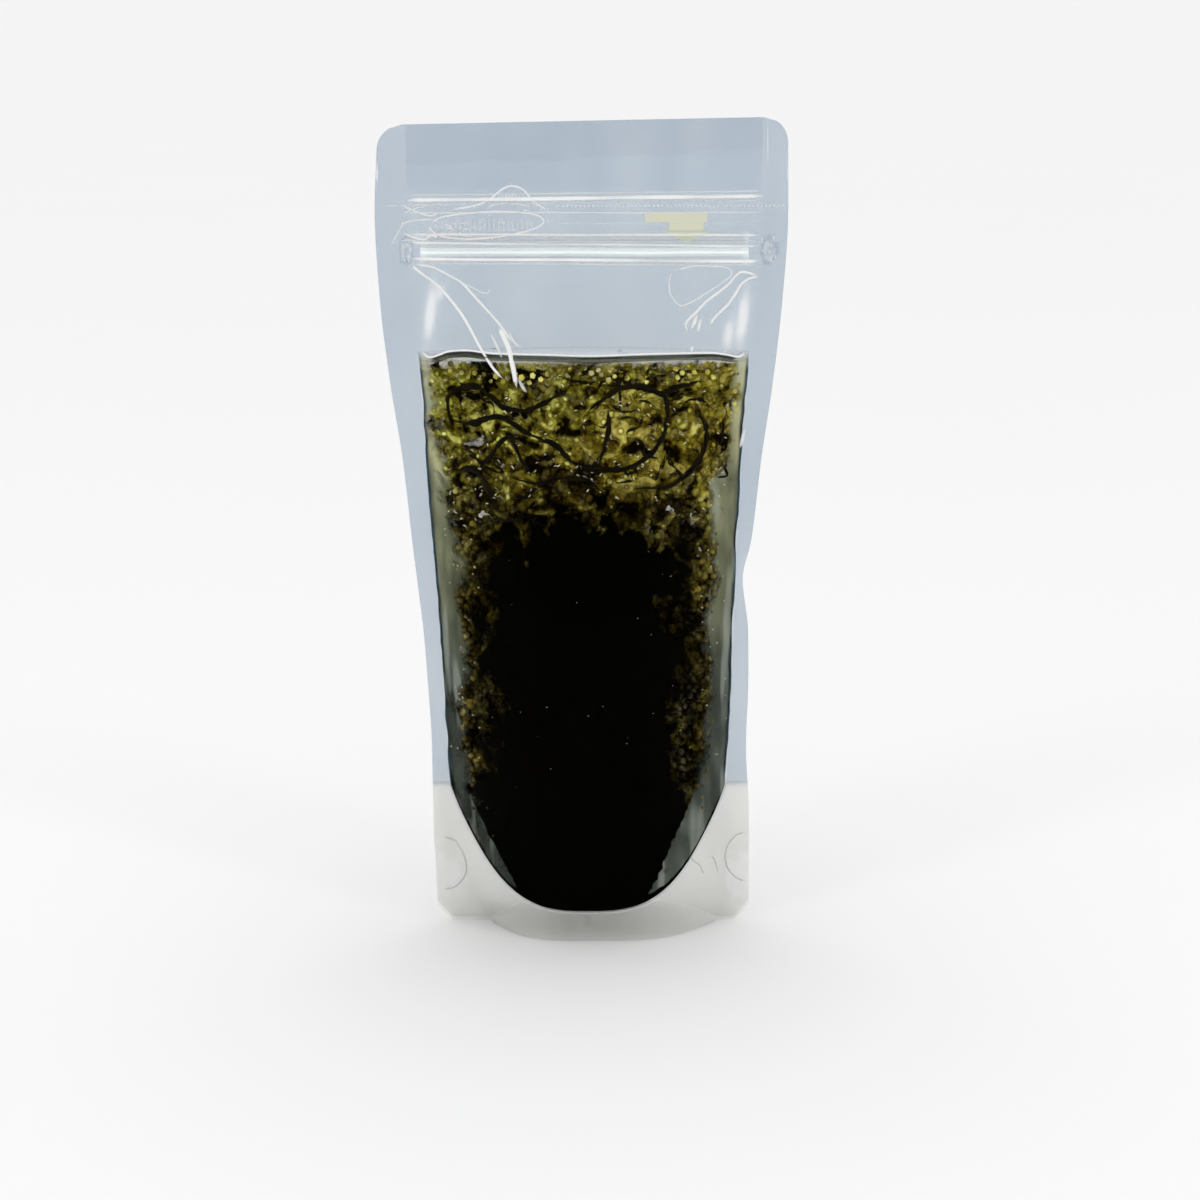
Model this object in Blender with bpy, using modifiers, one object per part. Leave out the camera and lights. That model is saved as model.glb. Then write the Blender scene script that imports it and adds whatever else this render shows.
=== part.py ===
"""Sea grapes in brine, packed in a clear stand-up pouch with a press zip.

Metres, +Z up. The pouch stands on the lower rim of its skirt at z = 0, with its front towards -Y.
"""

import math

import bmesh
import bpy
from mathutils import Vector

MM = 0.001

# Pouch, flat size 100 x 203 mm
HEIGHT = 203 * MM
FILM = 0.5 * MM
TOP_CORNER_RADIUS = 6 * MM
BOTTOM_CORNER_CUT = 4 * MM
TOP_EDGE_SLOPE = 0.02
TOP_SLOPE_START = 185 * MM
LEAN = 1.45 * MM

# Height, then the reach of the outer edge to the left and to the right
EDGE = [
    (0, 38.6, 41.2),
    (26, 39.4, 41.1),
    (47, 39.6, 40.1),
    (63, 40.4, 40.5),
    (76, 41.3, 40.3),
    (89, 42.7, 38.8),
    (99, 43.8, 40.8),
    (120, 45.9, 43.1),
    (140, 48.8, 45.8),
    (160, 50.9, 47.8),
    (180, 51.8, 48.9),
    (203, 50.9, 48.6),
]

# Height, then the reach of the filled chamber to the left and to the right
CHAMBER = [
    (0, 25.0, 33.0),
    (1.5, 25.0, 33.0),
    (10, 30.5, 34.3),
    (22, 34.0, 35.0),
    (37, 35.3, 35.3),
    (58, 36.5, 36.2),
    (84, 37.8, 36.9),
    (110, 39.7, 37.9),
    (130, 40.8, 38.8),
    (146, 42.0, 40.2),
    (165, 44.1, 42.5),
    (203, 44.1, 42.5),
]

# Height, then how far each panel bulges from the middle plane
BULGE = [
    (0, 17.0),
    (1.5, 17.0),
    (10, 19.0),
    (22, 21.0),
    (40, 22.5),
    (60, 23.0),
    (80, 21.5),
    (100, 18.5),
    (120, 14.0),
    (145, 8.0),
    (158, 3.6),
    (167, 0.4),
    (172, 0.0),
    (203, 0.0),
]

# A cross-section is boxier at the rim than at the belly
BELLY_POWER = 2.2
RIM_POWER = 3.6
RIM_POWER_HEIGHT = 30 * MM

# Half of the space between the panels at the side seals
SEAL_ROOM = 0.2 * MM
GUSSET_ROOM = 1.4 * MM
FOLD_ROOM = 0.15 * MM

# The right seal is pushed back where the pouch is pinched in
PINCH_HEIGHT = 89 * MM
PINCH_LENGTH = 8 * MM
PINCH_DEPTH = 2.5 * MM

# The gusset is sealed to both panels below a U
U_LOW = 8 * MM
U_HIGH = 36.5 * MM
U_HALF_WIDTH = 35.3 * MM
U_POWER = 2.9
FLOOR_SAG = 0.1
NOTCH_RADIUS = 6.5 * MM
NOTCH_HEIGHT = 10.3 * MM
RIM = 1.5 * MM
SKIRT_STEPS = 4
FOOT_TOP = 42 * MM
FOOT_STEPS = 3

# Press zip
ZIP_ROOM = 1.8 * MM
ZIP_LOW = 168.3 * MM
ZIP_HIGH = 175.6 * MM
ZIP_MIDDLE = 171.3 * MM
ZIP_SHARE = 0.92
ZIP_TAPE = 0.4 * MM
ZIP_TAPE_Y = 1.65 * MM

# Brine, and the hollow in it that holds the sea grapes
LIQUID_LEVEL = 145.5 * MM
BRINE_GAP = 0.6 * MM
BRINE_WALL = 0.9 * MM
BRINE_FLOOR = 1.5 * MM
HOLLOW_SHARE = 0.93

# Sea grape fronds, about 5.6 mm across their berries
FROND_RADIUS = 2.8 * MM
SLIM_RADIUS = 1.3 * MM
STEM_RADIUS = 0.6 * MM
FROND_SIDES = 6
STEM_RINGS = 3
BERRY_STEP = 2 * MM
FROND_GAP = 0.5 * MM
FROND_FLOOR_GAP = 6 * MM
FROND_SWING = 0.09
FROND_WAVE = 50 * MM
LAYER_TURN = 1.7

# Layer from the front (-1) to the back (1), then each frond's share of the width and its tip's height
FROND_LAYERS = [
    (-1, [(-0.67, 130), (-0.40, 141), (-0.13, 143), (0.14, 141), (0.41, 142), (0.68, 128)]),
    (0, [(-0.36, 100), (0.0, 108), (0.36, 98)]),
    (1, [(-0.67, 92), (-0.40, 133), (-0.13, 140), (0.14, 142), (0.41, 132), (0.68, 90)]),
]

COLUMNS = [-2, -1, -0.95, -0.8, -0.6, -0.4, -0.2, 0, 0.2, 0.4, 0.6, 0.8, 0.95, 1, 2]
INNER_COLUMNS = COLUMNS[1:-1]


def along(stations, height):
    """Read a smooth line through the stations at a height, without any overshoot."""
    rows = [[value * MM for value in row] for row in stations]
    height = min(max(height, rows[0][0]), rows[-1][0])
    k = max(i for i in range(len(rows) - 1) if rows[i][0] <= height)

    def steepness(i, column):
        return (rows[i + 1][column] - rows[i][column]) / (rows[i + 1][0] - rows[i][0])

    def slope(i, column):
        if i == 0 or i == len(rows) - 1:
            return 0
        before = steepness(i - 1, column)
        after = steepness(i, column)
        if before * after <= 0:
            return 0
        return 2 * before * after / (before + after)

    length = rows[k + 1][0] - rows[k][0]
    t = (height - rows[k][0]) / length
    values = []
    for column in range(1, len(rows[0])):
        values.append(
            rows[k][column] * (1 + 2 * t) * (1 - t) ** 2
            + slope(k, column) * length * t * (1 - t) ** 2
            + rows[k + 1][column] * t * t * (3 - 2 * t)
            + slope(k + 1, column) * length * t * t * (t - 1)
        )
    return values


def ease(value, start, end):
    """Rise smoothly from 0 at start to 1 at end."""
    t = min(max((value - start) / (end - start), 0), 1)
    return t * t * (3 - 2 * t)


def across(share, height):
    """X at a share of the half width: 1 is the chamber's edge and 2 the outer edge."""
    side = 1 if share > 0 else 0
    outer = along(EDGE, height)[side]
    chamber = along(CHAMBER, height)[side]
    from_top = height - (HEIGHT - TOP_CORNER_RADIUS)
    if from_top > 0:
        outer -= TOP_CORNER_RADIUS - math.sqrt(max(TOP_CORNER_RADIUS ** 2 - from_top ** 2, 0))
    outer -= max(BOTTOM_CORNER_CUT - height, 0)
    reach = abs(share) * chamber if abs(share) <= 1 else chamber + (abs(share) - 1) * (outer - chamber)
    return math.copysign(reach, share)


def room(share, height):
    """Half of the space between the two panels."""
    reach = min(abs(share), 1)
    folded = ease(reach, 0.8, 1) * (1 - ease(height, U_HIGH + MM, U_HIGH + 6 * MM))
    seal = SEAL_ROOM + (GUSSET_ROOM - SEAL_ROOM) * folded
    power = BELLY_POWER + (RIM_POWER - BELLY_POWER) * (1 - ease(height, 0, RIM_POWER_HEIGHT))
    bulge = along(BULGE, height)[0] * (1 - reach ** power)
    zip_bulge = ZIP_ROOM * ease(height, ZIP_LOW - 5 * MM, ZIP_LOW - MM)
    zip_bulge *= 1 - ease(height, ZIP_HIGH + MM, ZIP_HIGH + 8 * MM)
    return seal + bulge + zip_bulge * (1 - ease(reach, 0.95, 1))


def pinch(share, height):
    """How far the right seal stands back at a height."""
    near = math.exp(-((height - PINCH_HEIGHT) / PINCH_LENGTH) ** 2)
    return PINCH_DEPTH * near * max(share - 1, 0)


def raised(x, height):
    """Height with the slope of the top edge."""
    return height + TOP_EDGE_SLOPE * x * ease(height, TOP_SLOPE_START, HEIGHT)


def seal_height(x):
    """Height of the U seal at x."""
    return U_LOW + (U_HIGH - U_LOW) * min(abs(x) / U_HALF_WIDTH, 1) ** U_POWER


def seal_height_at_share(share):
    """Height at which a column meets the U seal."""
    height = U_HIGH
    for _ in range(30):
        height = (height + seal_height(across(share, height))) / 2
    return height


def collection(name):
    made = bpy.data.collections.new(name)
    bpy.context.scene.collection.children.link(made)
    return made


def material(name, colour, roughness, alpha=1.0):
    made = bpy.data.materials.new(name)
    made.use_nodes = True
    shader = made.node_tree.nodes["Principled BSDF"]
    shader.inputs["Base Color"].default_value = (*colour, 1)
    shader.inputs["Roughness"].default_value = roughness
    shader.inputs["Metallic"].default_value = 0
    shader.inputs["Alpha"].default_value = alpha
    return made


def added(name, mesh, look, into):
    mesh.materials.clear()
    if look:
        mesh.materials.append(look)
    piece = bpy.data.objects.new(name, mesh)
    into.objects.link(piece)
    return piece


def formed_grid(name, columns, rows, place, peaks=False):
    """Lay a flat grid and move the point of each column and row to its place.

    With peaks, each square is split so that every second point can stand alone as a peak.
    """
    sheet = bmesh.new()
    wide = len(columns) - 1
    tall = len(rows) - 1
    bmesh.ops.create_grid(sheet, x_segments=wide, y_segments=tall, size=1)

    def position(point):
        return round((point.co.x + 1) / 2 * wide), round((point.co.y + 1) / 2 * tall)

    if peaks:
        for square in list(sheet.faces):
            low = [point for point in square.verts if sum(position(point)) % 2]
            bmesh.utils.face_split(square, low[0], low[1])
    for point in sheet.verts:
        column, row = position(point)
        point.co = place(columns[column], rows[row])
    mesh = bpy.data.meshes.new(name)
    sheet.to_mesh(mesh)
    sheet.free()
    return mesh


def closed(mesh):
    """Join the meeting edges of a formed grid into one body that faces outwards."""
    body = bmesh.new()
    body.from_mesh(mesh)
    bmesh.ops.remove_doubles(body, verts=body.verts, dist=0.02 * MM)
    bmesh.ops.dissolve_degenerate(body, edges=body.edges, dist=0.01 * MM)
    bmesh.ops.recalc_face_normals(body, faces=body.faces)
    if body.calc_volume(signed=True) < 0:
        bmesh.ops.reverse_faces(body, faces=body.faces)
    body.to_mesh(mesh)
    body.free()
    return mesh


def give_thickness(piece, thickness, outward, even):
    wall = piece.modifiers.new("wall", "SOLIDIFY")
    wall.thickness = thickness
    wall.offset = 1 if outward else -1
    wall.use_even_offset = even


def smooth(mesh, degrees=40):
    mesh.shade_smooth()
    mesh.set_sharp_from_angle(angle=math.radians(degrees))


def skirt_levels(share):
    """Heights of a column's points from the floor to the U seal."""
    top = seal_height_at_share(share)
    return [0] + [RIM + (top - RIM) * k / SKIRT_STEPS for k in range(SKIRT_STEPS + 1)]


def belly_levels():
    """Heights that all columns share, from the foot up to the zip."""
    return [FOOT_TOP] + [height * MM for height in range(50, 160, 12)]


def panel_levels(share):
    """Heights of a column's points over the whole panel."""
    skirt = skirt_levels(share)
    foot = [skirt[-1] + (FOOT_TOP - skirt[-1]) * k / FOOT_STEPS for k in range(1, FOOT_STEPS)]
    head = [height * MM for height in (161, 164, 167.3, 176.6, 180, 184, 190, 197, 200, 202, 203)]
    return skirt + foot + belly_levels() + head


def panel(name, side, look, into):
    """One wall film: side is -1 at the front and 1 at the back."""

    levels = {share: panel_levels(share) for share in COLUMNS}

    def place(share, row):
        height = levels[share][row]
        x = across(share, height)
        y = side * room(share, height) + pinch(share, height)
        return Vector((x, y, raised(x, height)))

    mesh = formed_grid(name, COLUMNS, list(range(len(levels[0]))), place)
    smooth(mesh)
    film = added(name, mesh, look, into)
    give_thickness(film, FILM, outward=side < 0, even=True)
    return film


def gusset(look, into, guides):
    """The base film: up the front panel, over the floor and down the back panel."""
    flap_gap = GUSSET_ROOM - FOLD_ROOM - FILM
    skirts = {share: skirt_levels(share) for share in COLUMNS}

    def place(share, step):
        skirt = skirts[share]
        if abs(step) >= 1:
            height = skirt[len(skirt) - abs(step)]
            return Vector((across(share, height), math.copysign(room(share, height) - flap_gap, step), height))
        top = skirt[-1]
        reach = room(share, top) - flap_gap
        height = top - FLOOR_SAG * (reach - FOLD_ROOM - FILM) * (1 - step * step)
        return Vector((across(share, top), step * reach, height))

    flap = list(range(1, len(skirts[0]) + 1))
    rows = [-step for step in reversed(flap)] + [-0.5, 0, 0.5] + flap
    mesh = formed_grid("film_gusset", COLUMNS, rows, place)
    smooth(mesh)
    film = added("film_gusset", mesh, look, into)
    give_thickness(film, FILM, outward=False, even=False)
    for side in (-1, 1):
        x = across(2 * side, NOTCH_HEIGHT)
        bpy.ops.mesh.primitive_cylinder_add(
            vertices=20, radius=NOTCH_RADIUS, depth=10 * MM,
            location=(x, 0, NOTCH_HEIGHT), rotation=(math.pi / 2, 0, 0),
        )
        cutter = bpy.context.object
        cutter.name = "notch_cutter_left" if side < 0 else "notch_cutter_right"
        cutter.hide_render = True
        cutter.display_type = "WIRE"
        for owner in list(cutter.users_collection):
            owner.objects.unlink(cutter)
        guides.objects.link(cutter)
        cut = film.modifiers.new("notch", "BOOLEAN")
        cut.operation = "DIFFERENCE"
        cut.object = cutter
    return film


def zip_tape(name, outline, look, into):
    """Extrude a tape's outline, given as (y, z) round its own middle, along the zip."""
    left = across(-ZIP_SHARE, ZIP_MIDDLE)
    right = across(ZIP_SHARE, ZIP_MIDDLE)
    shape = bpy.data.curves.new(name, "CURVE")
    shape.dimensions = "2D"
    shape.fill_mode = "BOTH"
    shape.extrude = (right - left) / 2
    line = shape.splines.new("POLY")
    line.points.add(len(outline) - 1)
    for point, (y, z) in zip(line.points, outline):
        point.co = (y * MM, z * MM, 0, 1)
    line.use_cyclic_u = True
    shape.materials.append(look)
    tape = bpy.data.objects.new(name, shape)
    into.objects.link(tape)
    tape.location = ((left + right) / 2, 0, ZIP_MIDDLE)
    tape.rotation_euler = (math.pi / 2, 0, math.pi / 2)
    return tape


def zip_tapes(look, into):
    outer = ZIP_TAPE_Y / MM
    inner = (ZIP_TAPE_Y - ZIP_TAPE) / MM
    low = (ZIP_LOW - ZIP_MIDDLE) / MM
    high = (ZIP_HIGH - ZIP_MIDDLE) / MM
    tongue = [
        (-outer, low), (-inner, low), (-inner, -0.25), (0.05, -0.25), (0.05, -0.55), (0.65, -0.1),
        (0.65, 0.1), (0.05, 0.55), (0.05, 0.25), (-inner, 0.25), (-inner, high), (-outer, high),
    ]
    channel = [
        (outer, low), (outer, high), (inner, high), (inner, 1.4), (-0.55, 1.4), (-0.55, 0.5),
        (-0.2, 0.5), (-0.2, 0.85), (0.95, 0.85), (0.95, -0.85), (-0.2, -0.85), (-0.2, -0.5),
        (-0.55, -0.5), (-0.55, -1.4), (inner, -1.4), (inner, low),
    ]
    zip_tape("zip_tongue_tape", tongue, look, into)
    zip_tape("zip_channel_tape", channel, look, into)


def filling(name, share, inset, floor_gap, top):
    """A body that follows the inside of the pouch, inset from its walls and floor."""
    levels = [top] + [height for height in reversed(belly_levels()) if height < top - 5 * MM]
    steps = len(levels) - 1 + FOOT_STEPS
    floor_steps = 4
    last = 2 * steps + floor_steps + 2

    def level(bottom, step):
        if step < len(levels):
            return levels[step]
        return FOOT_TOP + (bottom - FOOT_TOP) * (step - len(levels) + 1) / FOOT_STEPS

    def half_depth(part, height):
        edge = 1 - ease(abs(part), 0.95, 1)
        return max(room(part * share, height) - inset, 0) * edge

    def place(part, step):
        bottom = seal_height_at_share(part * share) + floor_gap
        if step <= steps:
            height = level(bottom, step)
            return Vector((across(part * share, height), -half_depth(part, height), height))
        if step < steps + floor_steps:
            y = half_depth(part, bottom) * (2 * (step - steps) / floor_steps - 1)
            return Vector((across(part * share, bottom), y, bottom))
        if step <= last - 2:
            height = level(bottom, last - 2 - step)
            return Vector((across(part * share, height), half_depth(part, height), height))
        y = 0 if step == last - 1 else -half_depth(part, top)
        return Vector((across(part * share, top), y, top))

    return closed(formed_grid(name, INNER_COLUMNS, list(range(last + 1)), place))


def brine(look, into, guides):
    """The brine fills the chamber, with an open hollow where the sea grapes float."""
    mesh = filling("brine", 1, BRINE_GAP, BRINE_GAP, LIQUID_LEVEL)
    smooth(mesh)
    body = added("brine", mesh, look, into)
    hollow = filling(
        "brine_hollow", HOLLOW_SHARE, BRINE_GAP + BRINE_WALL, BRINE_GAP + BRINE_FLOOR,
        LIQUID_LEVEL + 5 * MM,
    )
    cutter = added("brine_hollow_cutter", hollow, None, guides)
    cutter.hide_render = True
    cutter.display_type = "WIRE"
    cut = body.modifiers.new("hollow", "BOOLEAN")
    cut.operation = "DIFFERENCE"
    cut.object = cutter


def frond_middle(share, layer, height):
    """Where a frond runs: it waves across in step with its neighbours, near its panel."""
    place = share + FROND_SWING * math.sin(math.tau * height / FROND_WAVE + layer * LAYER_TURN)
    x = across(place, height)
    slope = BELLY_POWER * abs(place) ** (BELLY_POWER - 1) * along(BULGE, height)[0] / abs(across(1, height))
    margin = (FROND_RADIUS + FROND_GAP) * math.hypot(1, slope)
    return Vector((x, layer * max(room(place, height) - BRINE_GAP - BRINE_WALL - margin, 0), height))


def frond_rings(share, layer, low, high):
    """Even points along a frond, from its cut stem to its tip."""
    fine = [frond_middle(share, layer, low + (high - low) * k / 400) for k in range(401)]
    even = [fine[0]]
    for point in fine:
        if (point - even[-1]).length >= BERRY_STEP:
            even.append(point)
    return even


def frond(name, share, layer, low, high, look, into):
    """One frond: a bare stem, then berries in turn round it, standing out of its slim middle."""
    middles = frond_rings(share, layer, low, high)
    last = len(middles) - 1

    def place(corner, ring):
        before = middles[max(ring - 1, 0)]
        after = middles[min(ring + 1, last)]
        along_frond = (after - before).normalized()
        beside = along_frond.cross(Vector((0, 1, 0))).normalized()
        outward = beside.cross(along_frond)
        if ring in (0, last):
            radius = 0
        elif ring <= STEM_RINGS:
            radius = STEM_RADIUS
        else:
            radius = SLIM_RADIUS if (corner + ring) % 2 else FROND_RADIUS
        if ring == last - 1:
            radius *= 0.7
        turn = math.tau * corner / FROND_SIDES
        return middles[ring] + (beside * math.cos(turn) + outward * math.sin(turn)) * radius

    mesh = closed(formed_grid(name, list(range(FROND_SIDES + 1)), list(range(last + 1)), place, peaks=True))
    smooth(mesh, 80)
    return added(name, mesh, look, into)


def fronds(look, into):
    """Fronds stand side by side in three layers, each kept clear of its neighbours."""
    number = 0
    for layer, lanes in FROND_LAYERS:
        for share, high in lanes:
            number += 1
            low = seal_height_at_share(abs(share) + FROND_SWING) + FROND_FLOOR_GAP
            frond(f"sea_grape_frond_{number:02d}", share, layer, low, high * MM, look, into)


def build():
    for old in list(bpy.data.objects):
        bpy.data.objects.remove(old)
    pouch = collection("sea grapes in a stand-up pouch")
    guides = collection("cutters")
    clear_film = material("clear_film", (0.80, 0.84, 0.88), 0.12, 0.35)
    zip_plastic = material("zip_plastic", (0.86, 0.87, 0.84), 0.3, 0.8)
    salt_water = material("salt_water", (0.30, 0.33, 0.26), 0.05, 0.5)
    seaweed = material("seaweed_green", (0.16, 0.17, 0.02), 0.35)
    panel("film_front", -1, clear_film, pouch)
    panel("film_back", 1, clear_film, pouch)
    gusset(clear_film, pouch, guides)
    zip_tapes(zip_plastic, pouch)
    brine(salt_water, pouch, guides)
    fronds(seaweed, pouch)
    middle = bpy.data.objects.new("middle_of_the_box", None)
    pouch.objects.link(middle)
    for piece in list(pouch.objects) + list(guides.objects):
        if piece != middle:
            piece.parent = middle
    middle.location.x = LEAN


build()
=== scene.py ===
"""Sea grapes in a clear stand-up zip pouch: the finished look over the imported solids."""
import math

import bpy
import numpy as np
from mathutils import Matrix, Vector


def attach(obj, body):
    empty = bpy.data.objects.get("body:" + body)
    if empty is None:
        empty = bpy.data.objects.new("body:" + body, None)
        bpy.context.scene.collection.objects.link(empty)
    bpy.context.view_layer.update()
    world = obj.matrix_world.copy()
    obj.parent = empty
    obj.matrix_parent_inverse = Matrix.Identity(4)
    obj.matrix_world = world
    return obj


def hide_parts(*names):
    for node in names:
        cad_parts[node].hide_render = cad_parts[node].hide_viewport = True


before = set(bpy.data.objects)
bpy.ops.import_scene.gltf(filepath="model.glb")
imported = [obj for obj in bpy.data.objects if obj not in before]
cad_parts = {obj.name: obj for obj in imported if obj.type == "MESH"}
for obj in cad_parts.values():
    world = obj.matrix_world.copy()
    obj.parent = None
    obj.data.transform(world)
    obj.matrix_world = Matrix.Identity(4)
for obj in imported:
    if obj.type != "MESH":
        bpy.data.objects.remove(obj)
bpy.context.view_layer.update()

MM = 0.001

# The pouch's own form, as in the solids: x is measured from the zip's middle, which stands LEAN to the right
LEAN = 1.45 * MM
HEIGHT = 203 * MM
TOP_CORNER_RADIUS = 6 * MM
BOTTOM_CORNER_CUT = 4 * MM
TOP_EDGE_SLOPE = 0.02
TOP_SLOPE_START = 185 * MM
BELLY_POWER = 2.2
RIM_POWER = 3.6
RIM_POWER_HEIGHT = 30 * MM
SEAL_ROOM = 0.2 * MM
GUSSET_ROOM = 1.4 * MM
PINCH_HEIGHT = 89 * MM
PINCH_LENGTH = 8 * MM
PINCH_DEPTH = 2.5 * MM
U_LOW = 8 * MM
U_HIGH = 36.5 * MM
U_HALF_WIDTH = 35.3 * MM
U_POWER = 2.9
FLOOR_SAG = 0.1
NOTCH_RADIUS = 6.5 * MM
NOTCH_HEIGHT = 10.3 * MM
RIM = 1.5 * MM
FOOT_TOP = 42 * MM
ZIP_ROOM = 1.8 * MM
ZIP_LOW = 168.3 * MM
ZIP_HIGH = 175.6 * MM
ZIP_MIDDLE = 171.3 * MM
LIQUID_LEVEL = 145.5 * MM

# Where the space between the panels changes: shares of the half width, then heights from and to
FOLD_FROM = 0.8
ZIP_SWELL_EDGE = 0.95
ABOVE_THE_U = (U_HIGH + MM, U_HIGH + 6 * MM)
UNDER_THE_ZIP = (ZIP_LOW - 5 * MM, ZIP_LOW - MM)
OVER_THE_ZIP = (ZIP_HIGH + MM, ZIP_HIGH + 8 * MM)

# Height, then the reach of the outer edge to the left and to the right
EDGE = [
    (0, 38.6, 41.2), (26, 39.4, 41.1), (47, 39.6, 40.1), (63, 40.4, 40.5), (76, 41.3, 40.3), (89, 42.7, 38.8),
    (99, 43.8, 40.8), (120, 45.9, 43.1), (140, 48.8, 45.8), (160, 50.9, 47.8), (180, 51.8, 48.9),
    (203, 50.9, 48.6),
]

# Height, then the reach of the filled chamber to the left and to the right
CHAMBER = [
    (0, 25.0, 33.0), (1.5, 25.0, 33.0), (10, 30.5, 34.3), (22, 34.0, 35.0), (37, 35.3, 35.3),
    (58, 36.5, 36.2), (84, 37.8, 36.9), (110, 39.7, 37.9), (130, 40.8, 38.8), (146, 42.0, 40.2),
    (165, 44.1, 42.5), (203, 44.1, 42.5),
]

# Height, then how far each panel bulges from the middle plane
BULGE = [
    (0, 17.0), (1.5, 17.0), (10, 19.0), (22, 21.0), (40, 22.5), (60, 23.0), (80, 21.5), (100, 18.5),
    (120, 14.0), (145, 8.0), (158, 3.6), (167, 0.4), (172, 0.0), (203, 0.0),
]


def smooth_line(stations):
    """Heights, and a smooth curve through each column of the stations, without any overshoot."""
    rows = np.array(stations, dtype=float) * MM
    z = rows[:, 0]
    fine = np.linspace(0, z[-1], 1200)
    k = np.clip(np.searchsorted(z, fine, side="right") - 1, 0, len(z) - 2)
    span = z[k + 1] - z[k]
    t = (fine - z[k]) / span
    curves = []
    for value in rows.T[1:]:
        steep = np.diff(value) / np.diff(z)
        slope = np.zeros(len(z))
        same = np.flatnonzero(steep[:-1] * steep[1:] > 0)
        slope[same + 1] = 2 * steep[same] * steep[same + 1] / (steep[same] + steep[same + 1])
        curves.append(
            value[k] * (1 + 2 * t) * (1 - t) ** 2
            + slope[k] * span * t * (1 - t) ** 2
            + value[k + 1] * t * t * (3 - 2 * t)
            + slope[k + 1] * span * t * t * (t - 1)
        )
    return fine, curves


EDGE_LINE = smooth_line(EDGE)
CHAMBER_LINE = smooth_line(CHAMBER)
BULGE_LINE = smooth_line(BULGE)


def ease(value, start, end):
    """Rise smoothly from 0 at start to 1 at end."""
    t = np.clip((value - start) / (end - start), 0, 1)
    return t * t * (3 - 2 * t)


def reach_of(line, share, height):
    """How far a line reaches on the side that the share's sign gives."""
    heights, (left, right) = line
    return np.where(share > 0, np.interp(height, heights, right), np.interp(height, heights, left))


def across(share, height):
    """X at a share of the half width: 1 is the chamber's edge and 2 the outer edge."""
    outer = reach_of(EDGE_LINE, share, height)
    chamber = reach_of(CHAMBER_LINE, share, height)
    from_top = np.maximum(height - (HEIGHT - TOP_CORNER_RADIUS), 0)
    outer = outer - TOP_CORNER_RADIUS + np.sqrt(np.maximum(TOP_CORNER_RADIUS ** 2 - from_top ** 2, 0))
    outer = outer - np.maximum(BOTTOM_CORNER_CUT - height, 0)
    far = np.abs(share)
    return np.sign(share) * np.where(far <= 1, far * chamber, chamber + (far - 1) * (outer - chamber))


def share_at(x, height):
    """The share of the half width at x."""
    far = np.abs(x)
    outer = reach_of(EDGE_LINE, x, height)
    chamber = reach_of(CHAMBER_LINE, x, height)
    return np.sign(x) * np.where(far <= chamber, far / chamber, 1 + (far - chamber) / (outer - chamber))


def bulge_at(height):
    """How far the middle of each panel bulges at a height."""
    return np.interp(height, BULGE_LINE[0], BULGE_LINE[1][0])


def room(share, height):
    """Half of the space between the two panels."""
    reach = np.minimum(np.abs(share), 1)
    folded = ease(reach, FOLD_FROM, 1) * (1 - ease(height, *ABOVE_THE_U))
    seal = SEAL_ROOM + (GUSSET_ROOM - SEAL_ROOM) * folded
    power = BELLY_POWER + (RIM_POWER - BELLY_POWER) * (1 - ease(height, 0, RIM_POWER_HEIGHT))
    bulge = bulge_at(height) * (1 - reach ** power)
    zip_bulge = ZIP_ROOM * ease(height, *UNDER_THE_ZIP)
    zip_bulge = zip_bulge * (1 - ease(height, *OVER_THE_ZIP))
    return seal + bulge + zip_bulge * (1 - ease(reach, ZIP_SWELL_EDGE, 1))


def pinch(share, height):
    """How far the right seal stands back at a height."""
    near = np.exp(-((height - PINCH_HEIGHT) / PINCH_LENGTH) ** 2)
    return PINCH_DEPTH * near * np.maximum(share - 1, 0)


def raised(x, height):
    """Height with the slope of the top edge."""
    return height + TOP_EDGE_SLOPE * x * ease(height, TOP_SLOPE_START, HEIGHT)


def seal_height(x):
    """Height of the U seal at x."""
    return U_LOW + (U_HIGH - U_LOW) * np.minimum(np.abs(x) / U_HALF_WIDTH, 1) ** U_POWER


def seal_height_at_share(share):
    """Height at which a column meets the U seal."""
    height = np.full(np.shape(share), U_HIGH)
    for _ in range(30):
        height = (height + seal_height(across(share, height))) / 2
    return height


WAVES_PER_STEP = 4


def waves(x, z, seed, size, octaves=3):
    """A soft random relief between about -1 and 1, for dents and wavy edges."""
    draw = np.random.default_rng(seed)
    total = np.zeros(np.broadcast(x, z).shape)
    for step in range(octaves):
        for _ in range(WAVES_PER_STEP):
            turn = draw.uniform(0, math.tau)
            beat = math.tau / size * 1.7 ** step * draw.uniform(0.7, 1.3)
            wave = np.sin((x * math.cos(turn) + z * math.sin(turn)) * beat + draw.uniform(0, math.tau))
            total = total + wave * 0.5 ** step
    return total / WAVES_PER_STEP


# Where Blender's nodes keep the sockets that are used by number
OBJECT_OUTPUT = 3
NUMBER_OUTPUT = 2
MIX_FACTOR = 0
MIX_COLOURS = (6, 7)
MIX_OUTPUT = 2


class Value:
    """A node socket that takes part in sums."""

    def __init__(self, sheet, socket):
        self.sheet = sheet
        self.socket = socket

    def maths(self, operation, *others):
        """A Math node on this value and others."""
        return self.sheet.node("ShaderNodeMath", {"operation": operation}, {
            k: other for k, other in enumerate((self, *others))
        })

    def __add__(self, other):
        return self.maths("ADD", other)

    __radd__ = __add__

    def __mul__(self, other):
        return self.maths("MULTIPLY", other)

    __rmul__ = __mul__

    def __sub__(self, other):
        return self.maths("SUBTRACT", other)

    def __rsub__(self, other):
        return self.sheet.value(other).maths("SUBTRACT", self)

    def clipped(self):
        """The value kept between 0 and 1."""
        return self.sheet.node("ShaderNodeClamp", {}, {"Value": self})


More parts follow.
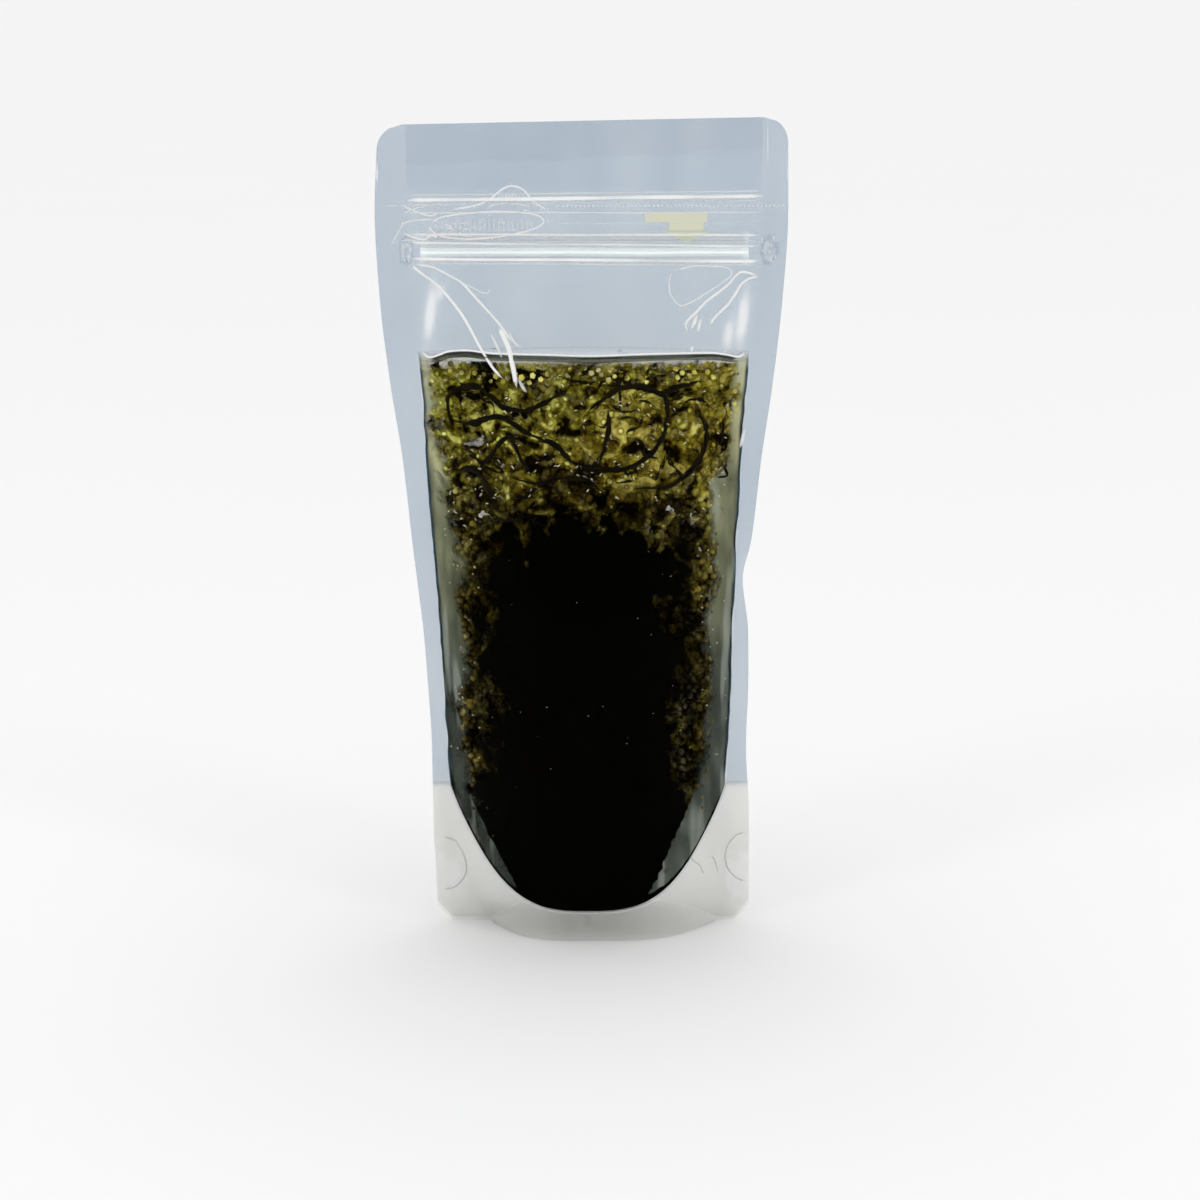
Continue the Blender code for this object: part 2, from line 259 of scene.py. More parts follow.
class Finish:
    """A material with one principled shader."""

    def __init__(self, name):
        self.made = bpy.data.materials.new(name)
        self.made.use_nodes = True
        self.tree = self.made.node_tree
        self.shader = self.tree.nodes["Principled BSDF"]

    def node(self, kind, settings, inputs, output=0):
        """A node of a kind: its settings first, then the values or links of its inputs."""
        made = self.tree.nodes.new(kind)
        for key, setting in settings.items():
            setattr(made, key, setting)
        for key, given in inputs.items():
            self.feed(made.inputs[key], given)
        return Value(self, made.outputs[output])

    def feed(self, socket, given):
        """Link a value to a socket, or set the socket's own number or colour."""
        if isinstance(given, Value):
            self.tree.links.new(given.socket, socket)
        else:
            socket.default_value = given

    def value(self, number):
        """A plain number as a value."""
        return self.node("ShaderNodeMath", {"operation": "ADD"}, {0: number, 1: 0.0})

    def colour(self, name):
        """A colour that the mesh carries."""
        return self.node("ShaderNodeAttribute", {"attribute_name": name}, {})

    def amount(self, name):
        """A number that the mesh carries."""
        return self.node("ShaderNodeAttribute", {"attribute_name": name}, {}, NUMBER_OUTPUT)

    def place(self):
        """The point on the piece, in object coordinates."""
        return self.node("ShaderNodeTexCoord", {}, {}, OBJECT_OUTPUT)

    def noise(self, scale, detail=2.0, stretch=None, swirl=0.0):
        """A soft random pattern through the piece, finer along the axes that are stretched more."""
        where = self.place()
        if stretch:
            where = self.node("ShaderNodeMapping", {}, {"Vector": where, "Scale": stretch})
        return self.node("ShaderNodeTexNoise", {}, {
            "Vector": where, "Scale": scale, "Detail": detail, "Distortion": swirl,
        })

    def ramp(self, factor, stops):
        """A colour for each value, from stops of a place and its colour."""
        made = self.node("ShaderNodeValToRGB", {}, {"Fac": factor})
        marks = made.socket.node.color_ramp.elements
        while len(marks) < len(stops):
            marks.new(1.0)
        for mark, (place, colour) in zip(marks, stops):
            mark.position = place
            mark.color = (*colour, 1)
        return made

    def mix(self, factor, first, second, way="MIX"):
        """The second colour over the first by a factor."""
        settings = {"data_type": "RGBA", "blend_type": way}
        mixed = self.node("ShaderNodeMix", settings, {MIX_FACTOR: factor}, MIX_OUTPUT)
        for number, colour in zip(MIX_COLOURS, (first, second)):
            given = colour if isinstance(colour, Value) else (*colour, 1)
            self.feed(mixed.socket.node.inputs[number], given)
        return mixed

    def tinted(self, colour, tint):
        """A colour seen through a tint."""
        return self.mix(1.0, colour, tint, "MULTIPLY")

    def bump(self, height, depth, strength=1.0):
        """Fine relief from a height pattern."""
        return self.node("ShaderNodeBump", {}, {"Height": height, "Distance": depth, "Strength": strength})

    def shade(self, **inputs):
        """Set the shader's own sockets; gives the material."""
        for key, given in inputs.items():
            self.feed(self.shader.inputs[key.replace("_", " ")], given)
        return self.made


# Colours of the finishes
FILM_ON_SCREEN = (0.7, 0.75, 0.8, 0.4)
ZIP_MILK = (0.88, 0.89, 0.87)
ZIP_LINE = (0.96, 0.96, 0.94)
# Painted glow of the zip and of its lines
ZIP_PAINTED_GLOW = (0.98, 0.98, 0.94)
ZIP_LINE_PAINTED_GLOW = (1.0, 0.99, 0.95)
# Painted sheen and shade of the streaks in the clear water
SHEEN_STREAK = (0.42, 0.46, 0.40)
SHADE_STREAK = (0.03, 0.04, 0.03)
# Painted black shade of the dense weed
DENSE_WEED_SHADE = (0.0006, 0.0005, 0.0002)
# Painted shadow and light over the berries
BERRY_SHADOW = (0.012, 0.008, 0.001)
BERRY_LIGHT = (0.62, 0.58, 0.27)
BERRY_SPECK = (0.004, 0.003, 0.001)
UNLIT = (0.0, 0.0, 0.0)
BEADS_PER_METRE = 470

# Painted shade and light over one berry seen in the water, from its middle outwards
BEAD_SHADE = [
    (0.0, (1.0, 1.0, 0.95)), (0.22, (0.80, 0.78, 0.62)), (0.36, (0.16, 0.13, 0.06)),
    (0.47, (0.36, 0.31, 0.18)), (0.75, (0.60, 0.55, 0.38)),
]

# Marbled weed in the water: share of the noise, then colour
MARBLE = [
    (0.40, (0.006, 0.004, 0.001)), (0.46, (0.050, 0.034, 0.003)), (0.51, (0.24, 0.20, 0.025)),
    (0.58, (0.42, 0.41, 0.10)), (0.66, (0.86, 0.86, 0.50)),
]


def film_finish():
    """Clear soft film: the colour and the haze of each part of it come with the mesh."""
    finish = Finish("clear_soft_film")
    colour = finish.colour("film_colour")
    haze = finish.amount("film_haze")
    grain = finish.noise(900, 1.0)
    cloud = finish.noise(60, 1.0, (1, 1, 0.4))
    finish.made.diffuse_color = FILM_ON_SCREEN
    return finish.shade(
        Base_Color=colour,
        Alpha=(haze * (0.8 + 0.4 * cloud)).clipped(),
        Roughness=0.12 + 0.12 * grain,
        IOR=1.45,
        Normal=finish.bump(grain, 0.00003, 0.5),
    )


def zip_finish():
    """Milky extruded plastic with fine lines along its length, and a painted glow that keeps it bright."""
    finish = Finish("milky_zip_plastic")
    lines = finish.noise(1.0, 3.0, (60, 2500, 2500))
    haze = finish.amount("film_haze")
    return finish.shade(
        Base_Color=finish.mix(lines, ZIP_MILK, ZIP_LINE),
        Alpha=haze,
        # Painted glow: the zip gives off light of its own
        Emission_Color=finish.mix(lines, ZIP_PAINTED_GLOW, ZIP_LINE_PAINTED_GLOW),
        Emission_Strength=0.34,
        Roughness=0.22 + 0.15 * lines,
        Normal=finish.bump(lines, 0.0001, 0.6),
    )


def brine_finish():
    """Sea water: glassy at the margins with painted sheen and shade streaks, marbled further in, and painted
    black for the shade where the weed is dense.
    """
    finish = Finish("grey_green_brine")
    glass_colour = finish.colour("film_colour")
    glass_haze = finish.amount("film_haze")
    weed_tint = finish.colour("weed_tint")
    weed_haze = finish.amount("weed_haze")
    marbled = finish.amount("marbling")
    glassiness = finish.amount("glassiness")
    dense = finish.amount("weed_shade")
    cloud = finish.noise(90, 1.0)
    swirl = finish.noise(190, 4.0, (1, 1, 1.2), 0.9)
    weed = finish.noise(170, 4.0, swirl=0.9)
    streak = finish.noise(1.0, 1.0, (230, 230, 55))
    # Painted black shade where the weed is dense
    black = ((dense + 1.9 * (weed - 0.5) - 0.5) * 2.6 + 0.5).clipped()
    glass = ((glassiness + 1.1 * (cloud - 0.5) + 1.1 * (weed - 0.5) - 0.5) * 3.0 + 0.5).clipped()
    bright = ((swirl - 0.56) * 11.0).clipped() * (1 - ((0.54 - cloud) * 6.0).clipped() * 0.7)
    shadowed = ((0.45 - swirl) * 10.0).clipped()
    beads = finish.node("ShaderNodeTexVoronoi", {}, {
        "Vector": finish.place(), "Scale": BEADS_PER_METRE, "Randomness": 0.7,
    })
    marble = finish.tinted(finish.ramp(swirl, MARBLE), finish.ramp(beads, BEAD_SHADE))
    marble = finish.tinted(marble, weed_tint)
    # Painted sheen and shade streaks over the clear water at the margins
    sheen = ((streak - 0.54) * 7.0).clipped()
    shade = ((0.46 - streak) * 6.0).clipped()
    glassy = finish.mix(sheen * 0.45, glass_colour, SHEEN_STREAK)
    glassy = finish.mix(shade * 0.5, glassy, SHADE_STREAK)
    weed_cover = weed_haze + marbled * (0.06 + 0.50 * bright + 0.80 * shadowed)
    cover = weed_cover.clipped() * (1 - glass) + glass_haze * glass
    return finish.shade(
        Base_Color=finish.mix(black, finish.mix(glass, marble, glassy), DENSE_WEED_SHADE),
        Alpha=(cover * (1 - black) + black).clipped(),
        Roughness=0.04 + 0.05 * cloud,
        IOR=1.33,
        Specular_IOR_Level=0.02,
        Normal=finish.bump(cloud, 0.0006, 0.4),
    )


def seaweed_finish():
    """Wet translucent berries: each has its own green, with painted shadows and patches of light over it, and
    a painted glow for the light from behind in the upper ones.
    """
    finish = Finish("wet_sea_grape_berries")
    colour = finish.colour("berry_colour")
    glow = finish.amount("berry_glow")
    mottle = finish.noise(1400, 1.0)
    patch = finish.noise(150, 3.0, (1, 1, 1.2), 1.2)
    broad = finish.noise(62, 1.0, (1, 1, 1.3))
    # Painted shadows between the fronds, and painted patches of light where the berries glow
    shadow = ((0.455 - patch) * 10.0 + ((0.49 - broad) * 7.0).clipped() * 0.8).clipped()
    light = ((patch - 0.53) * 9.0).clipped() * (glow * 2.0).clipped()
    shaded = finish.mix(shadow * 0.88, colour, BERRY_SHADOW)
    shaded = finish.mix(light * 0.75, shaded, BERRY_LIGHT)
    lit = finish.mix(glow, UNLIT, shaded)
    return finish.shade(
        Base_Color=finish.mix(mottle * 0.4, shaded, BERRY_SPECK),
        Roughness=0.25 + 0.2 * mottle,
        IOR=1.4,
        Specular_IOR_Level=0.06,
        Coat_Weight=(glow * 1.2).clipped(),
        Coat_Roughness=0.08,
        # Painted glow: the upper berries give off light of their own
        Emission_Color=finish.mix(mottle * 0.5, lit, UNLIT),
        Emission_Strength=0.6,
        Normal=finish.bump(mottle, 0.0001, 0.4),
    )


FILM_LOOK = film_finish()
ZIP_LOOK = zip_finish()
BRINE_LOOK = brine_finish()
SEAWEED_LOOK = seaweed_finish()


def finished(name, mesh, look, nodes=()):
    """Put a mesh in the scene as a piece of the pouch that stands for the named solids."""
    mesh.name = name
    mesh.materials.clear()
    mesh.materials.append(look)
    piece = bpy.data.objects.new(name, mesh)
    bpy.context.scene.collection.objects.link(piece)
    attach(piece, "root")
    if nodes:
        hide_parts(*nodes)
    return piece


def paint(mesh, name, values):
    """Keep a value or a colour for every point of a mesh."""
    values = np.asarray(values, dtype=float)
    if values.ndim == 1:
        layer = mesh.attributes.new(name, "FLOAT", "POINT")
        layer.data.foreach_set("value", values)
    else:
        layer = mesh.attributes.new(name, "FLOAT_COLOR", "POINT")
        filled = np.ones((len(values), 4))
        filled[:, :3] = values
        layer.data.foreach_set("color", filled.ravel())


def grid_mesh(columns, rows):
    """A flat grid from the grid tool; gives its mesh and each point's column and row."""
    bpy.ops.object.select_all(action="DESELECT")
    bpy.ops.mesh.primitive_grid_add(x_subdivisions=columns - 1, y_subdivisions=rows - 1, size=2)
    start = bpy.context.object
    mesh = start.data
    bpy.data.objects.remove(start)
    flat = np.empty(len(mesh.vertices) * 3)
    mesh.vertices.foreach_get("co", flat)
    flat = flat.reshape(-1, 3)
    column = np.rint((flat[:, 0] + 1) / 2 * (columns - 1)).astype(int)
    row = np.rint((flat[:, 1] + 1) / 2 * (rows - 1)).astype(int)
    while mesh.uv_layers:
        mesh.uv_layers.remove(mesh.uv_layers[0])
    return mesh, column, row


SHARP_ANGLE = 40


def smooth(mesh):
    """Shade a mesh smooth, but for its corners."""
    mesh.shade_smooth()
    mesh.set_sharp_from_angle(angle=math.radians(SHARP_ANGLE))


def move_points(mesh, places):
    """Put the points of a mesh at new places."""
    mesh.vertices.foreach_set("co", np.asarray(places, dtype=float).ravel())
    mesh.update()


FACE_OUTWARDS = (bpy.ops.mesh.normals_make_consistent, {"inside": False})


def take_up(piece):
    """Make a piece the only selected one, and the active one."""
    bpy.ops.object.select_all(action="DESELECT")
    piece.select_set(True)
    bpy.context.view_layer.objects.active = piece


def edit(piece, *steps):
    """Run edit-mode operators on the whole piece."""
    take_up(piece)
    bpy.ops.object.mode_set(mode="EDIT")
    bpy.ops.mesh.select_all(action="SELECT")
    for step, settings in steps:
        step(**settings)
    bpy.ops.object.mode_set(mode="OBJECT")


def thicken(piece, thickness, offset):
    """Give a sheet its wall."""
    wall = piece.modifiers.new("wall", "SOLIDIFY")
    wall.thickness = thickness
    wall.offset = offset
    take_up(piece)
    bpy.ops.object.modifier_apply(modifier=wall.name)


# Film
SHEET = 0.15 * MM
FILM_COLUMNS = np.concatenate([
    np.linspace(-2, -1.02, 9), np.linspace(-1, -0.9, 9), np.linspace(-0.88, 0.88, 89),
    np.linspace(0.9, 1, 9), np.linspace(1.02, 2, 9),
])
FLANGE_BLUE = (0.03, 0.21, 0.39)
HEADSPACE_BLUE = (0.03, 0.22, 0.40)
BAND_GREY = (0.03, 0.20, 0.37)
FROST_WHITE = (0.95, 0.95, 0.88)
# White of the painted highlights and soft reflections on the film
HIGHLIGHT_WHITE = (0.95, 0.96, 0.98)
WET_DARK = (0.02, 0.025, 0.02)
FLANGE_HAZE = 0.155
HEADSPACE_HAZE = 0.15
HEADSPACE_HAZE_RISE = 0.02
BAND_HAZE = 0.18
BAND_LOW = 194.0
BAND_SLOPE = 0.032
SKIRT_HAZE = 0.115
SKIRT_HAZE_DROP = 0.03
SKIRT_HAZE_PLAY = 0.02
SEAL_LINE_HAZE = 0.2
MOST_HAZE = 0.95
FRONT_SEED = 3
BACK_SEED = 8

# The crushed ends of the zip, hazier and with a painted highlight, in mm: distance from its middle, height,
# half width, half height and haze
WELD = (44.2, 171.6, 1.7, 3.4, 0.42)

# Dents and ridges of the film: depth and size of the dents, then height and depth of each ridge in mm
DENT_DEPTH = 0.12 * MM
DENT_SIZE = 26 * MM
DENTS_END = (150 * MM, 166 * MM)
RIDGES = [(184.4, 0.45), (175.8, 0.3)]
RIDGE_WIDTH = 0.6 * MM

# Rows of the panels: in the skirt, just above the U seal as shares of the foot, and then in even steps
SKIRT_ROWS = 24
FOOT_STEPS = (0.01, 0.02, 0.035, 0.06, 0.1, 0.2, 0.4, 0.6, 0.8)
BELLY_ROWS = np.arange(42, 160, 1.5) * MM
HEAD_ROWS = np.arange(160, 203.01, 1.0) * MM

# Painted soft reflections on the film over the headspace: x, height, half width, half height and strength
SOFT_LIGHTS = [
    (-38.5, 156.5, 1.3, 6.5, 0.09), (-36.0, 161.5, 0.9, 1.6, 0.08), (38.0, 155.0, 1.3, 6.0, 0.07),
    (34.5, 151.0, 1.0, 3.0, 0.04),
]
SOFT_LIGHT_LEAN = 0.12


def panel_levels(share):
    """Heights of the panel's rows in each column, from the floor to the top edge."""
    top = seal_height_at_share(share)
    skirt = [top * 0] + [RIM + (top - RIM) * k / SKIRT_ROWS for k in range(SKIRT_ROWS + 1)]
    foot = [top + (FOOT_TOP - top) * k for k in FOOT_STEPS]
    belly = [top * 0 + level for level in BELLY_ROWS]
    head = [top * 0 + level for level in HEAD_ROWS]
    return np.array(skirt + foot + belly + head)


def blend(colours, mask, colour, share=1.0):
    """Lay a colour over others by a mask."""
    mask = (np.asarray(mask) * share)[:, None]
    return colours * (1 - mask) + np.array(colour) * mask


def film_look(mesh, share, height, x):
    """Colour and haze over a wall film: seals, bands, wetted chamber and frosted skirt, with painted
    highlights along the U seal and at the zip's crushed ends, and painted soft reflections.
    """
    size = len(share)
    far = np.abs(share)
    seal = seal_height(x)
    inside = 1 - ease(far, 0.99, 1.01)
    under_water = 1 - ease(height, LIQUID_LEVEL - 0.3 * MM, LIQUID_LEVEL + 0.3 * MM)
    wet = (1 - ease(far, 0.97, 0.995)) * under_water * ease(height, seal - 0.2 * MM, seal + 0.4 * MM)
    skirt = 1 - ease(height, seal - 0.4 * MM, seal + 0.2 * MM)
    band_low = (BAND_LOW + x / MM * BAND_SLOPE) * MM
    band = ease(height, band_low - 0.3 * MM, band_low + 0.3 * MM)
    band = band * (1 - ease(far, 1.005, 1.02))
    dry = inside * (1 - wet)
    dry_haze = HEADSPACE_HAZE + HEADSPACE_HAZE_RISE * ease(height, 185 * MM, 187 * MM)
    skirt_haze = SKIRT_HAZE - SKIRT_HAZE_DROP * ease(x, -20 * MM, 30 * MM)
    skirt_haze = skirt_haze + SKIRT_HAZE_PLAY * waves(x, height * 0.5, 65, 12 * MM)

    colours = np.tile(np.array(FLANGE_BLUE), (size, 1))
    haze = np.full(size, FLANGE_HAZE)
    for mask, colour, amount in (
        (dry, HEADSPACE_BLUE, dry_haze), (band, BAND_GREY, BAND_HAZE), (wet, WET_DARK, 0.0),
        (skirt, FROST_WHITE, skirt_haze),
    ):
        colours = blend(colours, mask, colour)
        haze = haze * (1 - mask) + amount * mask

    # Painted highlight along the U seal
    seal_line = np.exp(-((height - seal + 0.2 * MM) / (0.25 * MM)) ** 2) * inside
    colours = blend(colours, seal_line, HIGHLIGHT_WHITE)
    haze = haze + SEAL_LINE_HAZE * seal_line
    for middle, level, wide, high, strength in SOFT_LIGHTS:
        off = (x / MM - middle - SOFT_LIGHT_LEAN * (height / MM - level)) / wide
        spot = np.exp(-off ** 2 - ((height / MM - level) / high) ** 2) * dry
        colours = blend(colours, np.clip(1.5 * spot, 0, 1), HIGHLIGHT_WHITE)
        haze = haze + strength * spot
    # The zip's crushed ends: hazier film with a painted highlight over it
    middle, level, wide, high, strength = WELD
    for side in (-1, 1):
        weld = np.hypot((x - side * middle * MM) / (wide * MM), (height - level * MM) / (high * MM))
        weld = (1 - ease(weld, 0.7, 1.15)) * (0.65 + 0.35 * waves(x, height, 61, 2.5 * MM))
        colours = blend(colours, np.clip(weld, 0, 1), HIGHLIGHT_WHITE)
        haze = haze + strength * weld
    paint(mesh, "film_colour", colours)
    paint(mesh, "film_haze", np.clip(haze, 0, MOST_HAZE))


def film_relief(share, height, x, seed):
    """Dents and ridges of the film, outwards."""
    inside = 1 - ease(np.abs(share), FOLD_FROM, 1)
    dents = DENT_DEPTH * waves(x, height, seed, DENT_SIZE) * inside
    dents = dents * (1 - ease(height, *DENTS_END))
    ridge = 0.0
    for level, depth in RIDGES:
        ridge = ridge + depth * MM * np.exp(-((height - level * MM) / RIDGE_WIDTH) ** 2)
    return dents + ridge * (1 - ease(np.abs(share), 0.93, 1))


def film_panel(name, side, node):
    """One wall film, side -1 at the front and 1 at the back."""
    columns = FILM_COLUMNS if side < 0 else FILM_COLUMNS[::2]
    levels = panel_levels(columns)
    mesh, column, row = grid_mesh(len(columns), len(levels))
    share = columns[column]
    height = levels[row, column]
    x = across(share, height)
    relief = film_relief(share, height, x, FRONT_SEED if side < 0 else BACK_SEED)
    y = side * (room(share, height) + relief) + pinch(share, height)
    move_points(mesh, np.stack([x + LEAN, y, raised(x, height)], axis=1))
    film_look(mesh, share, height, x)
    piece = finished(name, mesh, FILM_LOOK, [node])
    if side < 0:
        edit(piece, FACE_OUTWARDS)
    thicken(piece, SHEET, 1)
    smooth(piece.data)


film_panel("film_front_sheet", -1, "film_front")
film_panel("film_back_sheet", 1, "film_back")


# Base gusset
FLAP_ROWS = 14
FLOOR_ROWS = 9
GUSSET_GAP = 0.35 * MM
FLAP_HAZE = 0.10
CLEAR_HAZE = 0.03
FLOOR_DARK = (0.02, 0.02, 0.02)


def gusset_sheet():
    """The base film, folded up between the panels: a flap on each side and a floor between them."""
    columns = FILM_COLUMNS[::2]
    top = seal_height_at_share(columns)
    flap = [top * 0] + [RIM + (top - RIM) * k / FLAP_ROWS for k in range(FLAP_ROWS + 1)]
    steps = len(flap)
    rows = 2 * steps + FLOOR_ROWS
    mesh, column, row = grid_mesh(len(columns), rows)
    share = columns[column]
    flap = np.array(flap)
    side = np.where(row < rows / 2, -1, 1)
    from_edge = np.minimum(row, rows - 1 - row)
    on_flap = from_edge < steps
    height = np.where(on_flap, flap[np.minimum(from_edge, steps - 1), column], top[column])
    reach = room(share, height) - GUSSET_GAP
    across_floor = (row - (rows - 1) / 2) / ((rows - 1) / 2 - steps + 1)
    sag = FLOOR_SAG * (reach - SEAL_ROOM) * (1 - across_floor ** 2)
    y = np.where(on_flap, side * reach, across_floor * reach)
    z = np.where(on_flap, height, height - sag)
    x = across(share, height)
    notch_x = np.sign(share) * np.abs(across(np.sign(share) * 2, NOTCH_HEIGHT))
    in_notch = np.hypot(x - notch_x, height - NOTCH_HEIGHT) < NOTCH_RADIUS
    move_points(mesh, np.stack([x + LEAN, y, z], axis=1))
    colours = np.tile(np.array(FROST_WHITE), (len(share), 1))
    haze = np.where(on_flap & ~in_notch, FLAP_HAZE, CLEAR_HAZE)
    colours = blend(colours, 1.0 - on_flap, FLOOR_DARK)
    paint(mesh, "film_colour", colours)
    paint(mesh, "film_haze", haze)
    piece = finished("gusset_sheet", mesh, FILM_LOOK, ["film_gusset"])
    thicken(piece, SHEET, -1)
    smooth(piece.data)


gusset_sheet()


# Press zip
ZIP_STATIONS = 120
ZIP_END_SHARE = 0.925
CRUSHED_THINNER = 0.6
CRUSHED_WIDER = 0.15
ZIP_WAVE = 0.12 * MM
ZIP_CLEAR_HAZE = 0.06
ZIP_LOCKED_HAZE = 0.62
ZIP_CRUSHED_HAZE = 0.2
LOCKED_PART = (0.86, 1.15)


def zip_profile(kind):
    """A tape's outline, (y, z) in mm round the zip's middle line."""
    low = (ZIP_LOW - ZIP_MIDDLE) / MM
    high = (ZIP_HIGH - ZIP_MIDDLE) / MM
    if kind == "tongue":
        return [
            (-1.6, low), (-1.3, low), (-1.3, -0.25), (0.05, -0.25), (0.05, -0.55), (0.3, -0.45), (0.6, -0.15),
            (0.65, 0), (0.6, 0.15), (0.3, 0.45), (0.05, 0.55), (0.05, 0.25), (-1.3, 0.25), (-1.3, 0.9),
            (-1.15, 1.0), (-1.3, 1.1), (-1.3, high), (-1.6, high),
        ]
    return [
        (1.6, low), (1.6, high), (1.3, high), (1.3, 1.4), (-0.4, 1.4), (-0.55, 1.2), (-0.55, 0.5),
        (-0.2, 0.5), (-0.2, 0.85), (0.95, 0.85), (0.95, -0.85), (-0.2, -0.85), (-0.2, -0.5),
        (-0.55, -0.5), (-0.55, -1.2), (-0.4, -1.4), (1.3, -1.4), (1.3, low),
    ]


def zip_tape(name, kind, node):
    """Sweep a tape's outline along the zip; its ends are crushed flat into the side seals."""
    outline = np.array(zip_profile(kind))
    corners = len(outline)
    mesh, column, row = grid_mesh(ZIP_STATIONS, corners + 1)
    along = np.linspace(-1, 1, ZIP_STATIONS)[column]
    point = outline[row % corners]
    left = across(np.array(-ZIP_END_SHARE), ZIP_MIDDLE)
    right = across(np.array(ZIP_END_SHARE), ZIP_MIDDLE)
    x = (left + right) / 2 + along * (right - left) / 2
    crushed = ease(np.abs(along), 0.95, 1)
    y = point[:, 0] * MM * (1 - CRUSHED_THINNER * crushed)
    z = ZIP_MIDDLE + point[:, 1] * MM * (1 + CRUSHED_WIDER * crushed)
    z = z + ZIP_WAVE * waves(x, 0, 5, 30 * MM, 2)
    move_points(mesh, np.stack([x + LEAN, y, z], axis=1))
    locked = 1 - ease(np.abs(point[:, 1]), *LOCKED_PART)
    haze = ZIP_CLEAR_HAZE + ZIP_LOCKED_HAZE * locked + ZIP_CRUSHED_HAZE * crushed
    paint(mesh, "film_haze", haze)
    piece = finished(name, mesh, ZIP_LOOK, [node])
    edit(
        piece,
        (bpy.ops.mesh.remove_doubles, {"threshold": 0.01 * MM}),
        (bpy.ops.mesh.fill_holes, {"sides": 40}),
        FACE_OUTWARDS,
    )


zip_tape("zip_tongue_strip", "tongue", "zip_tongue_tape")
zip_tape("zip_channel_strip", "channel", "zip_channel_tape")


# Brine
BRINE_GAP = 0.06 * MM
MENISCUS = 1.3 * MM
MENISCUS_WIDTH = 1.1 * MM
MENISCUS_DROP = 0.8 * MM
MENISCUS_PLAY = 0.3
EDGE_DENTS = 0.5 * MM
SURFACE_ROWS = 12
SIDE_LEVELS = np.arange(145.5, 42, -1.15) * MM
FOOT_ROWS = 16
BASE_ROWS = 10
BRINE_COLUMNS = np.concatenate([
    np.linspace(-1, -0.9, 11), np.linspace(-0.885, 0.885, 100), np.linspace(0.9, 1, 11),
])
HIGH_MARGIN = np.array((0.44, 0.44, 0.25))
MIDDLE_MARGIN = np.array((0.165, 0.175, 0.105))
LOW_MARGIN = np.array((0.052, 0.061, 0.050))
# Painted dark outline of shade at the water's edge
OUTLINE_DARK = (0.006, 0.010, 0.008)
SURFACE_GREY = (0.40, 0.45, 0.42)
WATER_HAZE = 0.88
SURFACE_HAZE = 0.05
WARM_TINT = np.array((1.02, 0.94, 0.58))
GREEN_TINT = np.array((0.93, 1.02, 0.64))
BACK_TINT = (0.95, 0.88, 0.62)
FRONT_MARBLING = 0.9
BACK_MARBLING = 0.45

# The painted black shade of the dense weed, an arch: its top, its fall to the sides and its soft edge; then
# the painted pool of light below
ARCH_TOP = 112 * MM
ARCH_FALL = 16 * MM
ARCH_FADE = 18 * MM
POOL_LEVEL = 16.5 * MM
POOL_HEIGHT = 2.0 * MM
CORNER_LEVEL = 18 * MM


def brine_body():
    """The water's outer skin, from its surface down the front, over the base and up the back."""
    bottom = seal_height_at_share(BRINE_COLUMNS) + 0.3 * MM
    side = [bottom * 0 + level for level in SIDE_LEVELS]
    side += [FOOT_TOP + (bottom - FOOT_TOP) * k / FOOT_ROWS for k in range(1, FOOT_ROWS + 1)]
    side = np.array(side)
    steps = len(side)
    rows = 2 * SURFACE_ROWS + 2 * steps + BASE_ROWS + 1
    mesh, column, row = grid_mesh(len(BRINE_COLUMNS), rows)
    share = BRINE_COLUMNS[column]
    here = np.where(row <= rows // 2, row, rows - 1 - row)
    back = row > rows // 2
    level = side[np.clip(here - SURFACE_ROWS, 0, steps - 1), column]
    edge_close = 1 - ease(np.abs(share), 0.99, 1)
    x = across(share, level)
    wavy = EDGE_DENTS * np.abs(waves(level, x * 0.1, 21, 20 * MM)) * ease(np.abs(share), 0.9, 1)
    x = x - np.sign(share) * (0.08 * MM + wavy)
    depth = (room(share, level) - BRINE_GAP) * edge_close
    on_top = here < SURFACE_ROWS
    on_base = here >= SURFACE_ROWS + steps
    out = np.where(on_top, here / SURFACE_ROWS, 1.0)
    out = np.where(on_base, 1 - (here - SURFACE_ROWS - steps + 1) / (BASE_ROWS / 2 + 1), out)
    y = depth * np.sign(out) * np.abs(out) ** np.where(on_top, 0.7, 1.0)
    from_wall = depth - np.abs(y)
    lift = MENISCUS * np.exp(-from_wall / MENISCUS_WIDTH)
    lift = lift * (1 + MENISCUS_PLAY * waves(x, 0.0, 4, 30 * MM))
    rim_rise = np.exp(-(LIQUID_LEVEL - level) / MENISCUS_DROP)
    z = level + np.where(on_top, lift, np.where(on_base, 0.0, MENISCUS * rim_rise))
    sag = FLOOR_SAG * depth * (1 - np.abs(out) ** 2)
    z = z - np.where(on_base, sag, 0)
    y = np.where(back, y, -y)
    move_points(mesh, np.stack([x + LEAN, y, z], axis=1))
    brine_paint(mesh, share, z, x, on_top, back)
    piece = finished("brine_body", mesh, BRINE_LOOK, ["brine"])
    edit(
        piece,
        (bpy.ops.mesh.remove_doubles, {"threshold": 0.02 * MM}),
        FACE_OUTWARDS,
    )
    smooth(piece.data)


def corner_reflections(x, z, low):
    """The clear lower corners of the water, left and right, and both together, where painted reflections lie:
    lighter at the right and darker at the left.
    """
    left = ease(-x - (19.5 * MM + (z - CORNER_LEVEL) * 0.60), -1.0 * MM, 2.0 * MM)
    left = left * (1 - ease(z, 33 * MM, 40 * MM))
    right = ease(x - (17.5 * MM + (z - CORNER_LEVEL) * 0.50), -0.6 * MM, 0.6 * MM)
    right = right * (1 - ease(z - 0.4 * x, 33 * MM, 36 * MM))
    return left, right, np.maximum(left, right) * ease(low, 0.6 * MM, 1.8 * MM)


